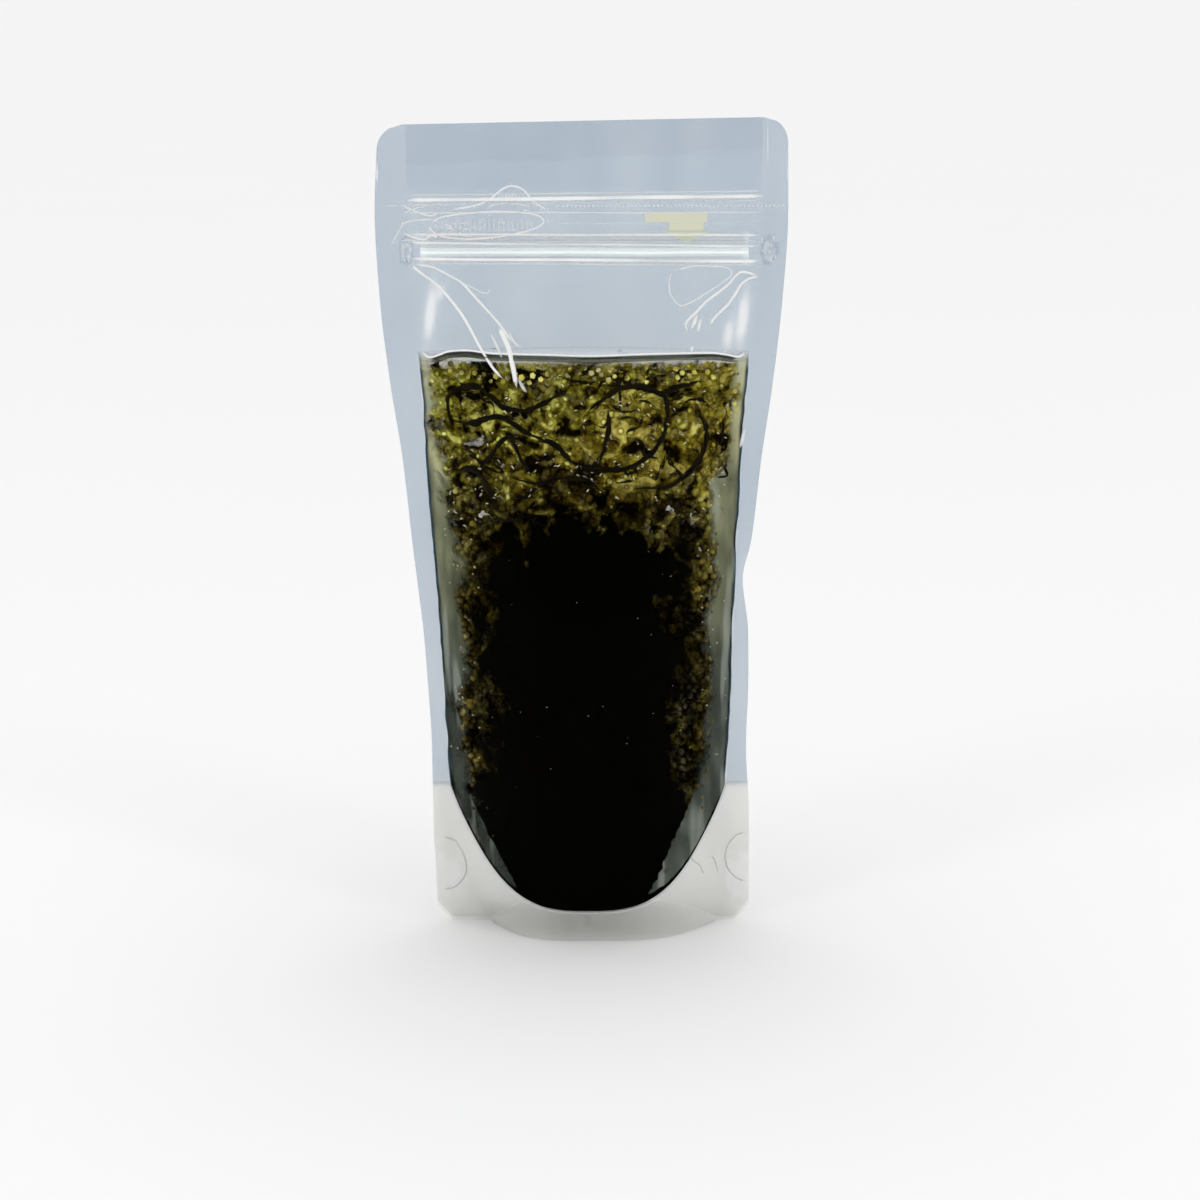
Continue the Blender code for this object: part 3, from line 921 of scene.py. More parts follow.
def painted_weed_shade(far, z, low, right, back, patch):
    """Painted black shade where the weed is dense: an arch at the front, more of it at the back, and a band
    along the foot.
    """
    edge = np.where(right, 0.64, 0.70) + 0.08 * patch + 0.3 * (1 - ease(z, 26 * MM, 46 * MM))
    arch = ARCH_TOP - ARCH_FALL * (far / 0.7) ** 2 + 3 * MM * patch
    dense = np.minimum(0.5 + (edge - far) / 0.36, 0.5 + (arch - z) / ARCH_FADE)
    back_shade = np.minimum(0.5 + (0.88 - far) / 0.25, 0.5 + (arch + 3 * MM - z) / ARCH_FADE)
    # Painted shade along the foot, by the U seal
    bottom_shade = 1 - ease(low, 1.5 * MM, 6 * MM)
    return np.maximum(np.where(back, back_shade, dense), 1.6 * bottom_shade)


def margin_colour(x, z, far, patch, small, corner_left, corner_right, surface):
    """Colour of the clear water at the sides: darker below, streaked with painted sheen and shade, with
    painted reflections in the lower corners and a painted dark outline of shade.
    """
    tall = ease(z, 58 * MM, 98 * MM)[:, None]
    taller = ease(z, 105 * MM, 132 * MM)[:, None]
    glass = LOW_MARGIN * (1 - tall) + MIDDLE_MARGIN * tall
    glass = glass * (1 - taller) + HIGH_MARGIN * taller
    # Painted reflections in the lower corners: lighter at the right, darker at the left
    glass = glass * (1 + 0.4 * corner_right - 0.35 * corner_left)[:, None]
    glass = glass * np.clip(1 + 0.55 * patch + 0.35 * waves(x, z * 0.35, 37, 5 * MM), 0.3, 2)[:, None]
    # Painted dark outline: shade where the water's curved edge meets the film
    glass = blend(glass, ease(far + 0.004 * small, 0.974, 0.988), OUTLINE_DARK)
    return blend(glass, surface, SURFACE_GREY)


def weed_colour(x, z, back_light, patch, small):
    """Tint of the marbled weed: green at the upper left, and dimmer further down, as painted shade."""
    green = np.clip(0.5 + 0.5 * patch - x / (60 * MM) + (z - 130 * MM) / (30 * MM), 0, 1)[:, None]
    tint = WARM_TINT * (1 - green) + GREEN_TINT * green
    # Painted shade: the weed grows dimmer further down
    dim = ease(z + 4 * MM * patch, 90 * MM, 128 * MM)
    dim = np.maximum(dim, 0.55 * ease(small, 0.35, 0.8))
    tint = tint * (0.28 + 0.92 * dim)[:, None]
    return blend(tint, back_light, BACK_TINT)


def brine_paint(mesh, share, z, x, on_top, back):
    """Say for each point how glassy, how marbled or how dense it is, and its colours."""
    far = np.abs(share)
    right = share > 0
    patch = waves(x, z * 0.6, 31, 16 * MM)
    small = waves(x, z * 0.7, 33, 7 * MM)
    low = z - seal_height(x)
    clear_from = np.where(back, LIQUID_LEVEL - 3.2 * MM, LIQUID_LEVEL + 0.1 * MM)
    surface = np.clip(ease(z, clear_from, clear_from + 0.6 * MM) + on_top * 1.0, 0, 1)
    corner_left, corner_right, corner = corner_reflections(x, z, low)

    start = 0.83 + np.where(right, 0.07 * ease(z, 112 * MM, 132 * MM), 0.12 * ease(z, 92 * MM, 126 * MM))
    glassiness = 0.5 + (far - start + 0.03 * patch) / 0.22
    glassiness = np.maximum(glassiness, 1.6 * corner)
    glassiness = np.maximum(glassiness, 2.0 * surface)

    # Painted pool of light just above the foot, which lifts the painted black
    pool = np.exp(-((z - POOL_LEVEL - 0.8 * MM * small) / POOL_HEIGHT) ** 2) * (1 - ease(far, 0.3, 0.45))
    dense = painted_weed_shade(far, z, low, right, back, patch) * (1 - corner) - 0.55 * pool
    dense = dense * (1 - surface)

    glass = margin_colour(x, z, far, patch, small, corner_left, corner_right, surface)
    haze = WATER_HAZE * (1 - surface) + SURFACE_HAZE * surface
    back_light = ease(z, 70 * MM, 90 * MM) * back
    upper = ease(z + 4 * MM * patch, 106 * MM, 124 * MM) * (1 - back)
    weed_haze = 0.03 + 0.50 * back_light + (0.50 + 0.15 * patch) * upper

    paint(mesh, "film_colour", np.clip(glass, 0, 1))
    paint(mesh, "film_haze", np.clip(haze, 0, 1))
    paint(mesh, "weed_tint", np.clip(weed_colour(x, z, back_light, patch, small), 0, 1.4))
    paint(mesh, "weed_haze", weed_haze)
    paint(mesh, "marbling", np.where(back, BACK_MARBLING, FRONT_MARBLING))
    paint(mesh, "glassiness", np.clip(glassiness, -1, 2))
    paint(mesh, "weed_shade", np.clip(dense, -0.6, 1.8))


brine_body()


# Sea grapes
FROND_RADIUS = 2.8 * MM
BERRY_RADIUS = 0.95 * MM
STEM_RADIUS = 0.45 * MM
FROND_GAP = 0.5 * MM
FROND_FLOOR_GAP = 6 * MM
FROND_SWING = 0.09
FROND_WAVE = 50 * MM
LAYER_TURN = 1.7
WALL_CLEAR = 1.5 * MM
FROND_LAYERS = [
    (-1, [(-0.67, 130), (-0.40, 141), (-0.13, 143), (0.14, 141), (0.41, 142), (0.68, 128)]),
    (0, [(-0.36, 100), (0.0, 108), (0.36, 98)]),
    (1, [(-0.67, 92), (-0.40, 133), (-0.13, 140), (0.14, 142), (0.41, 132), (0.68, 90)]),
]
BERRY_TURN = math.pi * (3 - math.sqrt(5))
LEAF_GREEN = np.array((0.36, 0.32, 0.035))
PALE_GREEN = np.array((0.62, 0.60, 0.20))
BROWN_GOLD = np.array((0.19, 0.140, 0.018))
# Painted shade of the berries in the dense middle, which no light reaches
DEEP_SHADE = np.array((0.0022, 0.0018, 0.0008))
STEM_BROWN = np.array((0.0035, 0.0026, 0.0008))
STEM_SIDES = 5

# Where the weed turns from its painted black shade to green: lowest green, its fall to the sides and its soft
# edge
GREEN_FROM = 112 * MM
GREEN_FALL = 10 * MM
GREEN_FADE = 20 * MM

# Veins of shade through the bunch: seed and size of the pattern, then their width and depth
VEINS = [(51, 15 * MM), (52, 22 * MM)]
VEIN_WIDTH = 0.11
VEIN_SHADE = 0.8

# Painted shade on each berry: dark at its foot and full at its crown
BERRY_FOOT_SHADE = 0.28
BERRY_CROWN_SHADE = 0.84


STALK_TAPER = 0.35


def ball(segments, rings):
    """One berry as a small ball drawn in to its stalk; gives its points and faces."""
    bpy.ops.object.select_all(action="DESELECT")
    bpy.ops.mesh.primitive_uv_sphere_add(segments=segments, ring_count=rings, radius=1)
    start = bpy.context.object
    mesh = start.data
    points = np.array([tuple(v.co) for v in mesh.vertices])
    faces = sorted(tuple(face.vertices) for face in mesh.polygons)
    bpy.data.objects.remove(start)
    points[:, :2] *= (1 - STALK_TAPER * ease(-points[:, 2], 0.3, 1))[:, None]
    return points, faces


FINE_BERRY = ball(6, 5)
PLAIN_BERRY = ball(5, 4)


def even_path(points, step):
    """Points an even step apart along a line."""
    points = np.asarray(points)
    lengths = np.concatenate([[0], np.cumsum(np.linalg.norm(np.diff(points, axis=0), axis=1))])
    count = max(int(lengths[-1] / step), 2)
    where = np.linspace(0, lengths[-1], count + 1)
    return np.stack([np.interp(where, lengths, points[:, k]) for k in range(3)], axis=1)


def rounded(points, count):
    """A smooth curve through a few points."""
    points = np.asarray(points, dtype=float)
    padded = np.vstack([2 * points[0] - points[1], points, 2 * points[-1] - points[-2]])
    spans = len(points) - 1
    where = np.linspace(0, spans, count)
    k = np.minimum(where.astype(int), spans - 1)
    u = (where - k)[:, None]
    a, b, c, d = padded[k], padded[k + 1], padded[k + 2], padded[k + 3]
    bend = 2 * a - 5 * b + 4 * c - d
    twist = 3 * b - a - 3 * c + d
    return 0.5 * (2 * b + (c - a) * u + bend * u * u + twist * u ** 3)


def directions(path):
    """Along, beside and outward directions at each point of a path."""
    ahead = np.gradient(path, axis=0)
    ahead /= np.linalg.norm(ahead, axis=1)[:, None] + 1e-12
    beside = np.cross(ahead, (0.0, 1.0, 0.0))
    beside /= np.linalg.norm(beside, axis=1)[:, None] + 1e-12
    return ahead, beside, np.cross(beside, ahead)


TIP_RADIUS_SHARE = 0.5


def tube(middles, radius, sides, flat=1.0):
    """Faces and points of a closed stem or strip along a path."""
    ahead, beside, outward = directions(middles)
    turns = np.arange(sides) * math.tau / sides
    rings = len(middles)
    ring = np.cos(turns)[None, :, None] * beside[:, None, :]
    ring = ring + flat * np.sin(turns)[None, :, None] * outward[:, None, :]
    radius = np.broadcast_to(radius, rings).copy()
    radius[[0, -1]] *= TIP_RADIUS_SHARE
    points = (middles[:, None, :] + ring * radius[:, None, None]).reshape(-1, 3)
    faces = []
    for k in range(rings - 1):
        for j in range(sides):
            a = k * sides + j
            b = k * sides + (j + 1) % sides
            faces.append((a, b, b + sides, a + sides))
    faces.append(tuple(reversed(range(sides))))
    faces.append(tuple(range((rings - 1) * sides, rings * sides)))
    return faces, points


class Bunch:
    """Points, faces and colours that become one mesh."""

    def __init__(self):
        self.points = []
        self.faces = []
        self.colours = []
        self.glows = []
        self.count = 0

    def add(self, points, faces, colours, glows):
        """Take in one form; a colour or a glow is one for all of its points, or one for each."""
        self.points.append(points)
        self.faces.extend([tuple(i + self.count for i in face) for face in faces])
        self.colours.append(np.broadcast_to(colours, (len(points), 3)))
        self.glows.append(np.broadcast_to(glows, len(points)))
        self.count += len(points)

    def mesh(self, colour_name, glow_name):
        """One mesh of all the forms, which carries their colours and glows under these names."""
        made = bpy.data.meshes.new("bunch")
        made.from_pydata(np.vstack(self.points).tolist(), [], self.faces)
        paint(made, colour_name, np.clip(np.vstack(self.colours), 0, 1))
        paint(made, glow_name, np.concatenate(self.glows))
        made.shade_smooth()
        return made


def berry_tint(centres, draw):
    """Colour and glow of berries: green and lit near the top, painted black for the shade in the dense
    middle.
    """
    x = centres[:, 0] - LEAN
    z = centres[:, 2]
    share = np.abs(share_at(x, z))
    patch = waves(x, z, 41, 20 * MM)
    small = waves(x, z, 43, 8 * MM)
    low_edge = GREEN_FROM - GREEN_FALL * ease(np.abs(x + 4 * MM), 12 * MM, 34 * MM)
    high = ease(z + patch * 7 * MM + small * 3 * MM, low_edge, low_edge + GREEN_FADE)
    warm = ease(z + patch * 8 * MM + small * 4 * MM, low_edge - 12 * MM, low_edge + 8 * MM)
    side_light = ease(share + 0.12 * patch + 0.05 * small, 0.62, 0.88) * ease(z, 14 * MM, 50 * MM)
    golden = np.clip(warm + side_light, 0, 1)[:, None]
    upper_side = 0.5 * side_light * ease(z, 70 * MM, 120 * MM)
    green = np.clip(high * (0.75 + 0.35 * patch) + upper_side, 0, 1)[:, None]
    colours = DEEP_SHADE * (1 - golden) + BROWN_GOLD * golden
    colours = colours * (1 - green) + LEAF_GREEN * green
    clump = ease(waves(x, z, 47, 7 * MM), 0.35, 0.8) * 0.55 + (draw.random(len(centres)) < 0.05) * 0.5
    pale = clump[:, None] * np.maximum(green, 0.35 * golden)
    colours = colours * (1 - pale) + PALE_GREEN * pale
    colours = colours * draw.uniform(0.7, 1.3, len(centres))[:, None]
    colours = colours * np.clip(0.95 + 0.7 * small + 0.5 * patch, 0.15, 2.0)[:, None]
    for seed, size in VEINS:
        vein = np.exp(-(waves(x, z, seed, size) / VEIN_WIDTH) ** 2)
        colours = colours * (1 - VEIN_SHADE * vein)[:, None]
    # Painted light: the berries grow lighter towards the water's surface
    colours = colours * (1 + 0.3 * ease(z, 122 * MM, 138 * MM))[:, None]
    # Painted shade: berries deep behind the front film are darker
    from_film = room(share, z) - np.abs(centres[:, 1])
    buried_shade = ease(from_film, 3.5 * MM, 8 * MM)[:, None] * (1 - 0.6 * high)[:, None]
    colours = colours * (1 - 0.9 * buried_shade)
    glow = (0.1 + 0.5 * high) * draw.uniform(0.3, 1.4, len(centres))
    return colours, glow


RING_STEP = 1.5 * MM
BERRIES_AROUND = 4
BARE_RINGS = 3


def frond_mesh(path, draw, size=1.0, berry=FINE_BERRY):
    """A stem along the path with rings of berries set in turn round it."""
    middles = even_path(path, RING_STEP)
    ahead, beside, outward = directions(middles)
    bunch = Bunch()
    faces, points = tube(middles, STEM_RADIUS, STEM_SIDES)
    bunch.add(points, faces, STEM_BROWN, 0.0)
    last = len(middles) - 1
    turn = 0.0
    centres = []
    frames = []
    for k in range(BARE_RINGS, last + 1):
        taper = min(1.0, 0.55 + 0.12 * (last - k))
        for part in range(BERRIES_AROUND):
            angle = turn + math.tau * part / BERRIES_AROUND + draw.uniform(-0.2, 0.2)
            out = beside[k] * math.cos(angle) + outward[k] * math.sin(angle)
            reach = (FROND_RADIUS - BERRY_RADIUS) * size * taper * draw.uniform(0.85, 1.05)
            shift = ahead[k] * draw.uniform(-0.4, 0.4) * MM
            centres.append(middles[k] + out * reach + shift)
            frames.append((beside[k] * math.sin(angle) - outward[k] * math.cos(angle), ahead[k], out))
        turn += BERRY_TURN
    centres = np.array(centres)
    tint, glow = berry_tint(centres, draw)
    shape, faces = berry
    for centre, axes, colour, lit in zip(centres, frames, tint, glow):
        ways = shape @ np.array(axes)
        radius = BERRY_RADIUS * size * draw.uniform(0.82, 1.12)
        crown = np.maximum(shape[:, 2], np.abs(ways[:, 1]))
        # Painted shade on the berry, dark at its foot
        rim = BERRY_FOOT_SHADE + BERRY_CROWN_SHADE * ease(crown, 0.1, 0.6)
        bunch.add(centre + ways * radius, faces, rim[:, None] * colour, lit)
    return bunch.mesh("berry_colour", "berry_glow")


def frond_middle(share, layer, height):
    """Where a frond runs, as in the solids: it waves across in step with its neighbours."""
    place = share + FROND_SWING * np.sin(math.tau * height / FROND_WAVE + layer * LAYER_TURN)
    x = across(place, height)
    half = np.abs(across(np.array(1.0), height))
    slope = BELLY_POWER * np.abs(place) ** (BELLY_POWER - 1) * bulge_at(height) / half
    margin = (FROND_RADIUS + FROND_GAP) * np.hypot(1, slope)
    y = layer * np.maximum(room(place, height) - WALL_CLEAR - margin, 0)
    return np.stack([x + LEAN, y, height], axis=1)


def main_fronds():
    """The upright fronds of the solids, berried."""
    number = 0
    for layer, lanes in FROND_LAYERS:
        for share, high in lanes:
            number += 1
            low = float(seal_height_at_share(np.array(abs(share) + FROND_SWING))) + FROND_FLOOR_GAP
            path = frond_middle(share, layer, np.linspace(low, high * MM, 300))
            berry = FINE_BERRY if layer < 0 else PLAIN_BERRY
            mesh = frond_mesh(path, np.random.default_rng(100 + number), berry=berry)
            name = f"sea_grape_frond_{number:02d}"
            finished(f"{name}_berried", mesh, SEAWEED_LOOK, [name])


main_fronds()


def inside_place(share, height, depth, layer):
    """A point in the pouch at a depth from its front or back film."""
    y = layer * np.maximum(room(share, height) - depth, 0)
    return np.stack([across(share, height) + LEAN, y, height], axis=1)


# Groups of crossing fronds: name, how many, lowest height, spread in height, layer, depth, reach and berry
CROSSING_GROUPS = [
    ("front_frond", 22, 15, 125, -1, 3.2, 0.86, FINE_BERRY),
    ("back_frond", 17, 15, 125, 1, 3.2, 0.86, PLAIN_BERRY),
    ("middle_frond", 8, 98, 40, -1, 9.0, 0.8, PLAIN_BERRY),
]
FROND_CEILING = 141.8 * MM
ALONG_SHARE = 60


def crossing_frond(name, draw, height, layer, depth, reach, berry):
    """A frond that lies across the pouch in loose waves."""
    share = np.linspace(-reach, reach, ALONG_SHARE) * (1 if draw.random() < 0.5 else -1)
    swing = draw.uniform(1.5, 4.5) * MM
    beat = draw.uniform(2.5, 5.0)
    start = draw.uniform(0, math.tau)
    level = height + swing * np.sin(share * beat + start)
    level = level + 2 * MM * waves(share, 0.0, int(height / MM), 0.9)
    floor = seal_height_at_share(np.abs(share)) + (depth + 1.5 * MM)
    level = np.clip(level, floor, FROND_CEILING)
    far = depth + draw.uniform(0, 1.6) * MM * (1 + np.sin(share * 7 + start))
    path = inside_place(share, level, far, layer)
    mesh = frond_mesh(path, draw, size=0.92, berry=berry)
    finished(name, mesh, SEAWEED_LOOK)


def crossing_fronds():
    """Fronds that fill the room between the upright ones, at the front, at the back and in the middle."""
    draw = np.random.default_rng(7)
    for name, count, low, spread, layer, depth, reach, berry in CROSSING_GROUPS:
        for number in range(1, count + 1):
            height = (low + spread * (number - 0.5) / count) * MM
            crossing_frond(f"{name}_{number:02d}", draw, height, layer, depth * MM, reach, berry)


# Fronds at each side: share of the half width, layer, depth, lowest and highest height
EDGE_LANES = [(0.89, -1, 9.0, 30, 143), (0.80, -1, 3.0, 26, 142), (0.80, 1, 3.0, 26, 142)]


def edge_fronds():
    """Fronds that stand along both sides, where the pouch is thin."""
    draw = np.random.default_rng(9)
    number = 0
    for side in (-1, 1):
        for share, layer, depth, low, high in EDGE_LANES:
            number += 1
            level = np.linspace(low, high, 80) * MM
            place = side * share + 0.02 * np.sin(level / (6 * MM) + number)
            path = inside_place(place, level, depth * MM, layer)
            mesh = frond_mesh(path, draw, size=0.85)
            finished(f"edge_frond_{number:02d}", mesh, SEAWEED_LOOK)


# Fronds under the surface: four at the front and four at the back, each deeper than the last, at two levels
TOP_FRONDS_A_SIDE = 4
TOP_LEVEL = 141.6
TOP_LEVEL_STEP = 3.2
BACK_LOWER = 1.8
FIRST_DEPTH = 1.8
DEPTH_STEP = 1.4
TOP_REACH = 0.9


def top_fronds():
    """Fronds that float just under the water's surface."""
    draw = np.random.default_rng(12)
    for number in range(1, 2 * TOP_FRONDS_A_SIDE + 1):
        depth = FIRST_DEPTH + DEPTH_STEP * ((number - 1) % TOP_FRONDS_A_SIDE)
        layer = -1 if number <= TOP_FRONDS_A_SIDE else 1
        share = np.linspace(-TOP_REACH, TOP_REACH, ALONG_SHARE)
        level = (TOP_LEVEL - TOP_LEVEL_STEP * ((number - 1) % 2) - BACK_LOWER * (layer > 0)) * MM
        level = level + 0.8 * MM * np.sin(share * 9 + number * 2.1)
        path = inside_place(share, level, depth * MM, layer)
        mesh = frond_mesh(path, draw, size=0.9, berry=PLAIN_BERRY)
        finished(f"top_frond_{number:02d}", mesh, SEAWEED_LOOK)


crossing_fronds()
edge_fronds()
top_fronds()


# Dark stems that show between the berries at the front, x and height in mm
STEM_ROUTES = [
    [(-33, 128), (-34, 136), (-28, 139), (-24, 137), (-20, 134), (-14, 134), (-8, 137), (-2, 141)],
    [(-33, 130), (-28, 130), (-22, 132), (-16, 129), (-9, 126), (-4, 122), (2, 120), (9, 120), (15, 123),
     (19, 129), (19, 136), (14, 139), (8, 139), (3, 136), (-1, 132)],
    [(4.5, 136), (5, 130), (4, 125), (3, 120)],
    [(-29, 122), (-25, 121), (-22, 125), (-19, 127), (-16, 122), (-14, 118)],
    [(-33, 118), (-28, 119), (-24, 114), (-22, 109)],
    [(-19, 118), (-12, 116), (-6, 118), (0, 117), (4, 114)],
    [(11, 115), (17, 115), (23, 117), (28, 122), (29, 129), (26, 136)],
    [(5, 141), (11, 140), (17, 138), (23, 139), (28, 140)],
]


ROUTE_DENSITY = 10


def on_front(route, depth, density=ROUTE_DENSITY):
    """A route of (x, height) in mm, laid at a depth behind the front film's inner face."""
    flat = rounded(np.array([(x, z, 0) for x, z in route]) * MM, density * len(route))
    x, z = flat[:, 0], flat[:, 1]
    share = share_at(x, z)
    y = pinch(share, z) + depth - room(share, z) - film_relief(share, z, x, FRONT_SEED)
    return np.stack([x + LEAN, y, raised(x, z)], axis=1)


# Strands of the long stems and of the short ones between them: how many, and half width in mm
LONG_STEM = (5, 0.38)
SHORT_STEM = (2, 0.28)
SHORT_STEMS = 46
SHORT_STEP = 3.2
STRAND_END = 9


def short_route(draw):
    """A short bent route somewhere in the upper weed."""
    x = draw.uniform(-35, 33)
    z = draw.uniform(106, 142)
    turn = draw.uniform(-0.9, 0.9)
    route = []
    for _ in range(4):
        route.append((x, z))
        turn += draw.uniform(-0.9, 0.9)
        x += SHORT_STEP * math.cos(turn)
        z += SHORT_STEP * math.sin(turn)
    return [(min(max(x, -36), 34), min(z, 143)) for x, z in route]


def strand(bunch, route, half_width, number, draw):
    """One strand of a stem, which waves a little off its route and swells and thins."""
    path = on_front(route, draw.uniform(0.02, 0.6) * MM, 7)
    count = len(path)
    along = np.arange(count)
    for axis in (0, 2):
        beat = draw.uniform(0.25, 0.6)
        wander = draw.uniform(0.15, 0.55) * MM
        path[:, axis] += wander * np.sin(along * beat + draw.uniform(0, math.tau))
    swell = half_width * MM * (1 + 0.45 * np.sin(along * draw.uniform(0.4, 0.9) + number))
    swell = swell * (0.25 + 0.75 * ease(np.minimum(along, count - 1 - along), 0, STRAND_END))
    faces, points = tube(path, swell, STEM_SIDES)
    bunch.add(points, faces, STEM_BROWN * draw.uniform(0.3, 2.4), 0.0)


def bare_stems():
    """Each stem is a few dark strands that lie loosely together, and short ones lie between them."""
    bunch = Bunch()
    draw = np.random.default_rng(23)
    routes = [(route, *LONG_STEM) for route in STEM_ROUTES]
    routes += [(short_route(draw), *SHORT_STEM) for _ in range(SHORT_STEMS)]
    for route, strands, half_width in routes:
        for number in range(strands):
            strand(bunch, route, half_width, number, draw)
    finished("bare_stems", bunch.mesh("berry_colour", "berry_glow"), SEAWEED_LOOK)


bare_stems()


# Creases, folds and pressed lines of the front film, drawn as painted highlights: x and height in mm, then
# half width in mm and strength
CREASES = [
    ([(-42.7, 168.3), (-41.5, 167.1), (-37.8, 164.2), (-34.4, 160.8), (-31.2, 156.9), (-29.3, 154.0),
      (-27.8, 151.3), (-25.9, 147.9), (-23.2, 143.8), (-20.7, 141.1)], 0.34, 0.95),
    ([(-42.2, 168.5), (-38.5, 168.0), (-36.1, 167.1), (-31.2, 164.2), (-27.8, 160.8), (-24.1, 156.9),
      (-21.0, 153.5), (-18.0, 149.1)], 0.30, 0.9),
    ([(-31.2, 164.2), (-27.8, 162.5), (-25.8, 161.5), (-24.4, 161.5), (-23.6, 162.5)], 0.2, 0.6),
    ([(-21.6, 153.6), (-20.4, 151.0), (-19.2, 148.2), (-18.1, 143.5), (-17.3, 139.1)], 0.62, 0.95),
    ([(-24.0, 152.6), (-22.0, 148.6), (-20.6, 145.4)], 0.3, 0.7),
    ([(-19.4, 153.0), (-18.2, 150.2), (-16.0, 148.4)], 0.3, 0.7),
    ([(-17.0, 141.6), (-15.9, 139.4), (-14.9, 138.0)], 0.4, 0.6),
    ([(42.0, 165.4), (38.3, 166.6), (36.4, 165.9), (34.4, 163.4), (31.7, 161.3), (29.0, 159.3),
      (26.6, 156.9), (24.6, 155.0), (23.7, 153.5)], 0.34, 0.9),
    ([(42.0, 165.4), (39.5, 164.9), (37.6, 163.4), (36.1, 161.0), (34.2, 158.4), (31.5, 155.9),
      (29.5, 153.3)], 0.34, 0.9),
    ([(20.7, 166.8), (25.6, 168.0), (30.0, 168.0), (34.1, 167.6), (35.1, 165.9), (32.7, 163.7),
      (28.5, 161.0), (25.6, 159.3), (22.9, 158.4), (21.7, 159.1), (20.2, 161.3), (20.0, 164.6),
      (20.7, 166.8)], 0.2, 0.75),
    ([(26.8, 156.6), (26.2, 154.6), (25.1, 152.5)], 0.42, 0.95),
    ([(27.9, 155.6), (27.3, 153.6), (26.9, 151.8)], 0.35, 0.9),
    ([(25.9, 149.0), (25.5, 148.0), (25.2, 147.0)], 0.35, 0.8),
    ([(23.2, 154.8), (24.0, 153.6), (24.3, 152.0)], 0.25, 0.7),
    ([(-38.4, 178.1), (-37.9, 176.7), (-35.3, 175.3), (-30.0, 174.7), (-24.5, 174.9), (-17.0, 176.0),
      (-11.9, 177.6), (-10.7, 179.2), (-13.5, 180.6), (-21.3, 181.2), (-29.5, 180.7), (-35.5, 179.8),
      (-38.4, 178.1)], 0.22, 0.85),
    ([(-34.6, 176.3), (-28.0, 175.2), (-20.0, 175.5), (-14.0, 177.0)], 0.16, 0.6),
    ([(-33.5, 181.6), (-28.6, 182.3), (-25.2, 183.4), (-22.5, 185.1), (-20.6, 186.6), (-18.4, 187.3),
      (-15.9, 186.6), (-14.0, 184.6), (-11.6, 182.5), (-9.6, 181.5)], 0.24, 0.9),
    ([(-24.5, 182.3), (-22.0, 182.9), (-19.0, 183.1), (-16.0, 182.8), (-13.4, 182.2)], 0.18, 0.7),
    ([(-45.7, 182.9), (-41.0, 180.9), (-37.9, 180.2), (-35.9, 181.2)], 0.24, 0.8),
    ([(-45.7, 180.3), (-42.0, 181.9), (-37.9, 182.6)], 0.18, 0.7),
    ([(-45.6, 177.8), (-43.3, 178.8), (-40.0, 179.2), (-37.0, 179.4)], 0.2, 0.7),
    ([(-45.3, 175.9), (-42.2, 175.1), (-39.6, 174.6), (-38.0, 175.6), (-36.0, 174.9)], 0.3, 0.9),
    ([(-45.8, 173.9), (-43.0, 174.3), (-40.2, 173.7), (-37.8, 174.4)], 0.22, 0.8),
    ([(-48.0, 172.5), (-46.6, 175.3), (-45.4, 177.5), (-44.9, 179.4)], 0.16, 0.55),
    ([(-50.9, 194.0), (-51.0, 190.5), (-51.0, 187.4)], 0.24, 0.75),
    ([(48.3, 196.0), (48.5, 190.5), (48.6, 187.4)], 0.12, 0.4),
    ([(43.6, 203.0), (43.7, 197.0), (43.8, 190.6)], 0.12, 0.5),
    ([(-51.0, 182.6), (-47.0, 182.5), (-45.6, 182.7)], 0.14, 0.5),
    ([(-36.7, 22.4), (-33.9, 21.3), (-31.7, 18.3), (-31.0, 15.0), (-31.8, 11.5), (-34.1, 9.0),
      (-36.9, 8.2)], 0.2, 0.45),
    ([(40.0, 23.4), (37.7, 22.6), (35.7, 19.9), (35.0, 16.9), (35.8, 13.7), (37.8, 11.5),
      (40.0, 10.4)], 0.2, 0.45),
    ([(25.7, 20.5), (26.7, 18.8), (28.2, 17.2), (29.5, 14.2)], 0.18, 0.4),
    ([(31.2, 18.6), (32.2, 17.2), (33.3, 12.8)], 0.18, 0.4),
    ([(38.9, 128.5), (38.3, 125.0), (37.7, 122.8)], 0.45, 0.8),
]
# White of the painted highlights on folds, lines and glints, and of the pressed tear dots
HIGHLIGHT_AND_PRESSED_WHITE = (1.0, 1.0, 1.0)
GLINT_CREAM = (0.95, 0.92, 0.62)
STRIP_SIDES = 6
STRIP_FLAT = 0.45
STRIP_DEPTH = -0.17
LINE_POINTS = 90

# The wrinkled patch, in mm: its middle, height, half length and half height; then the rows of small wrinkles
PATCH = (-24.5, 178.0, 13.0, 2.6)
WRINKLE_ROWS = [181.6, 178.0, 175.6]
SMALL_WRINKLES = 90
WELD_CURLS = 22
UPPER_GLINTS = 150
SIDE_GLINTS = 46
DARK_GLINTS = 24

# Pressed lines right across the top, drawn as painted highlights: height, ends, rise to the right, half width
# and strength
PRESSED_LINES = [
    (184.4, -44.2, 43.0, 0.012, 0.46, 1.0), (185.6, -44.2, 43.0, 0.012, 0.20, 0.40),
    (183.3, -44.2, 43.0, 0.012, 0.16, 0.30), (180.9, -44.2, 42.4, 0.0, 0.18, 0.65),
    (178.4, -10.0, 42.4, 0.0, 0.10, 0.25), (175.7, -44.2, 42.4, -0.002, 0.28, 0.85),
    (174.4, -44.2, 42.4, -0.004, 0.14, 0.40), (173.3, -44.0, 42.4, -0.010, 0.28, 0.90),
    (169.5, -43.4, 42.6, -0.008, 0.40, 1.0), (168.5, -42.8, 42.6, -0.006, 0.14, 0.45),
]

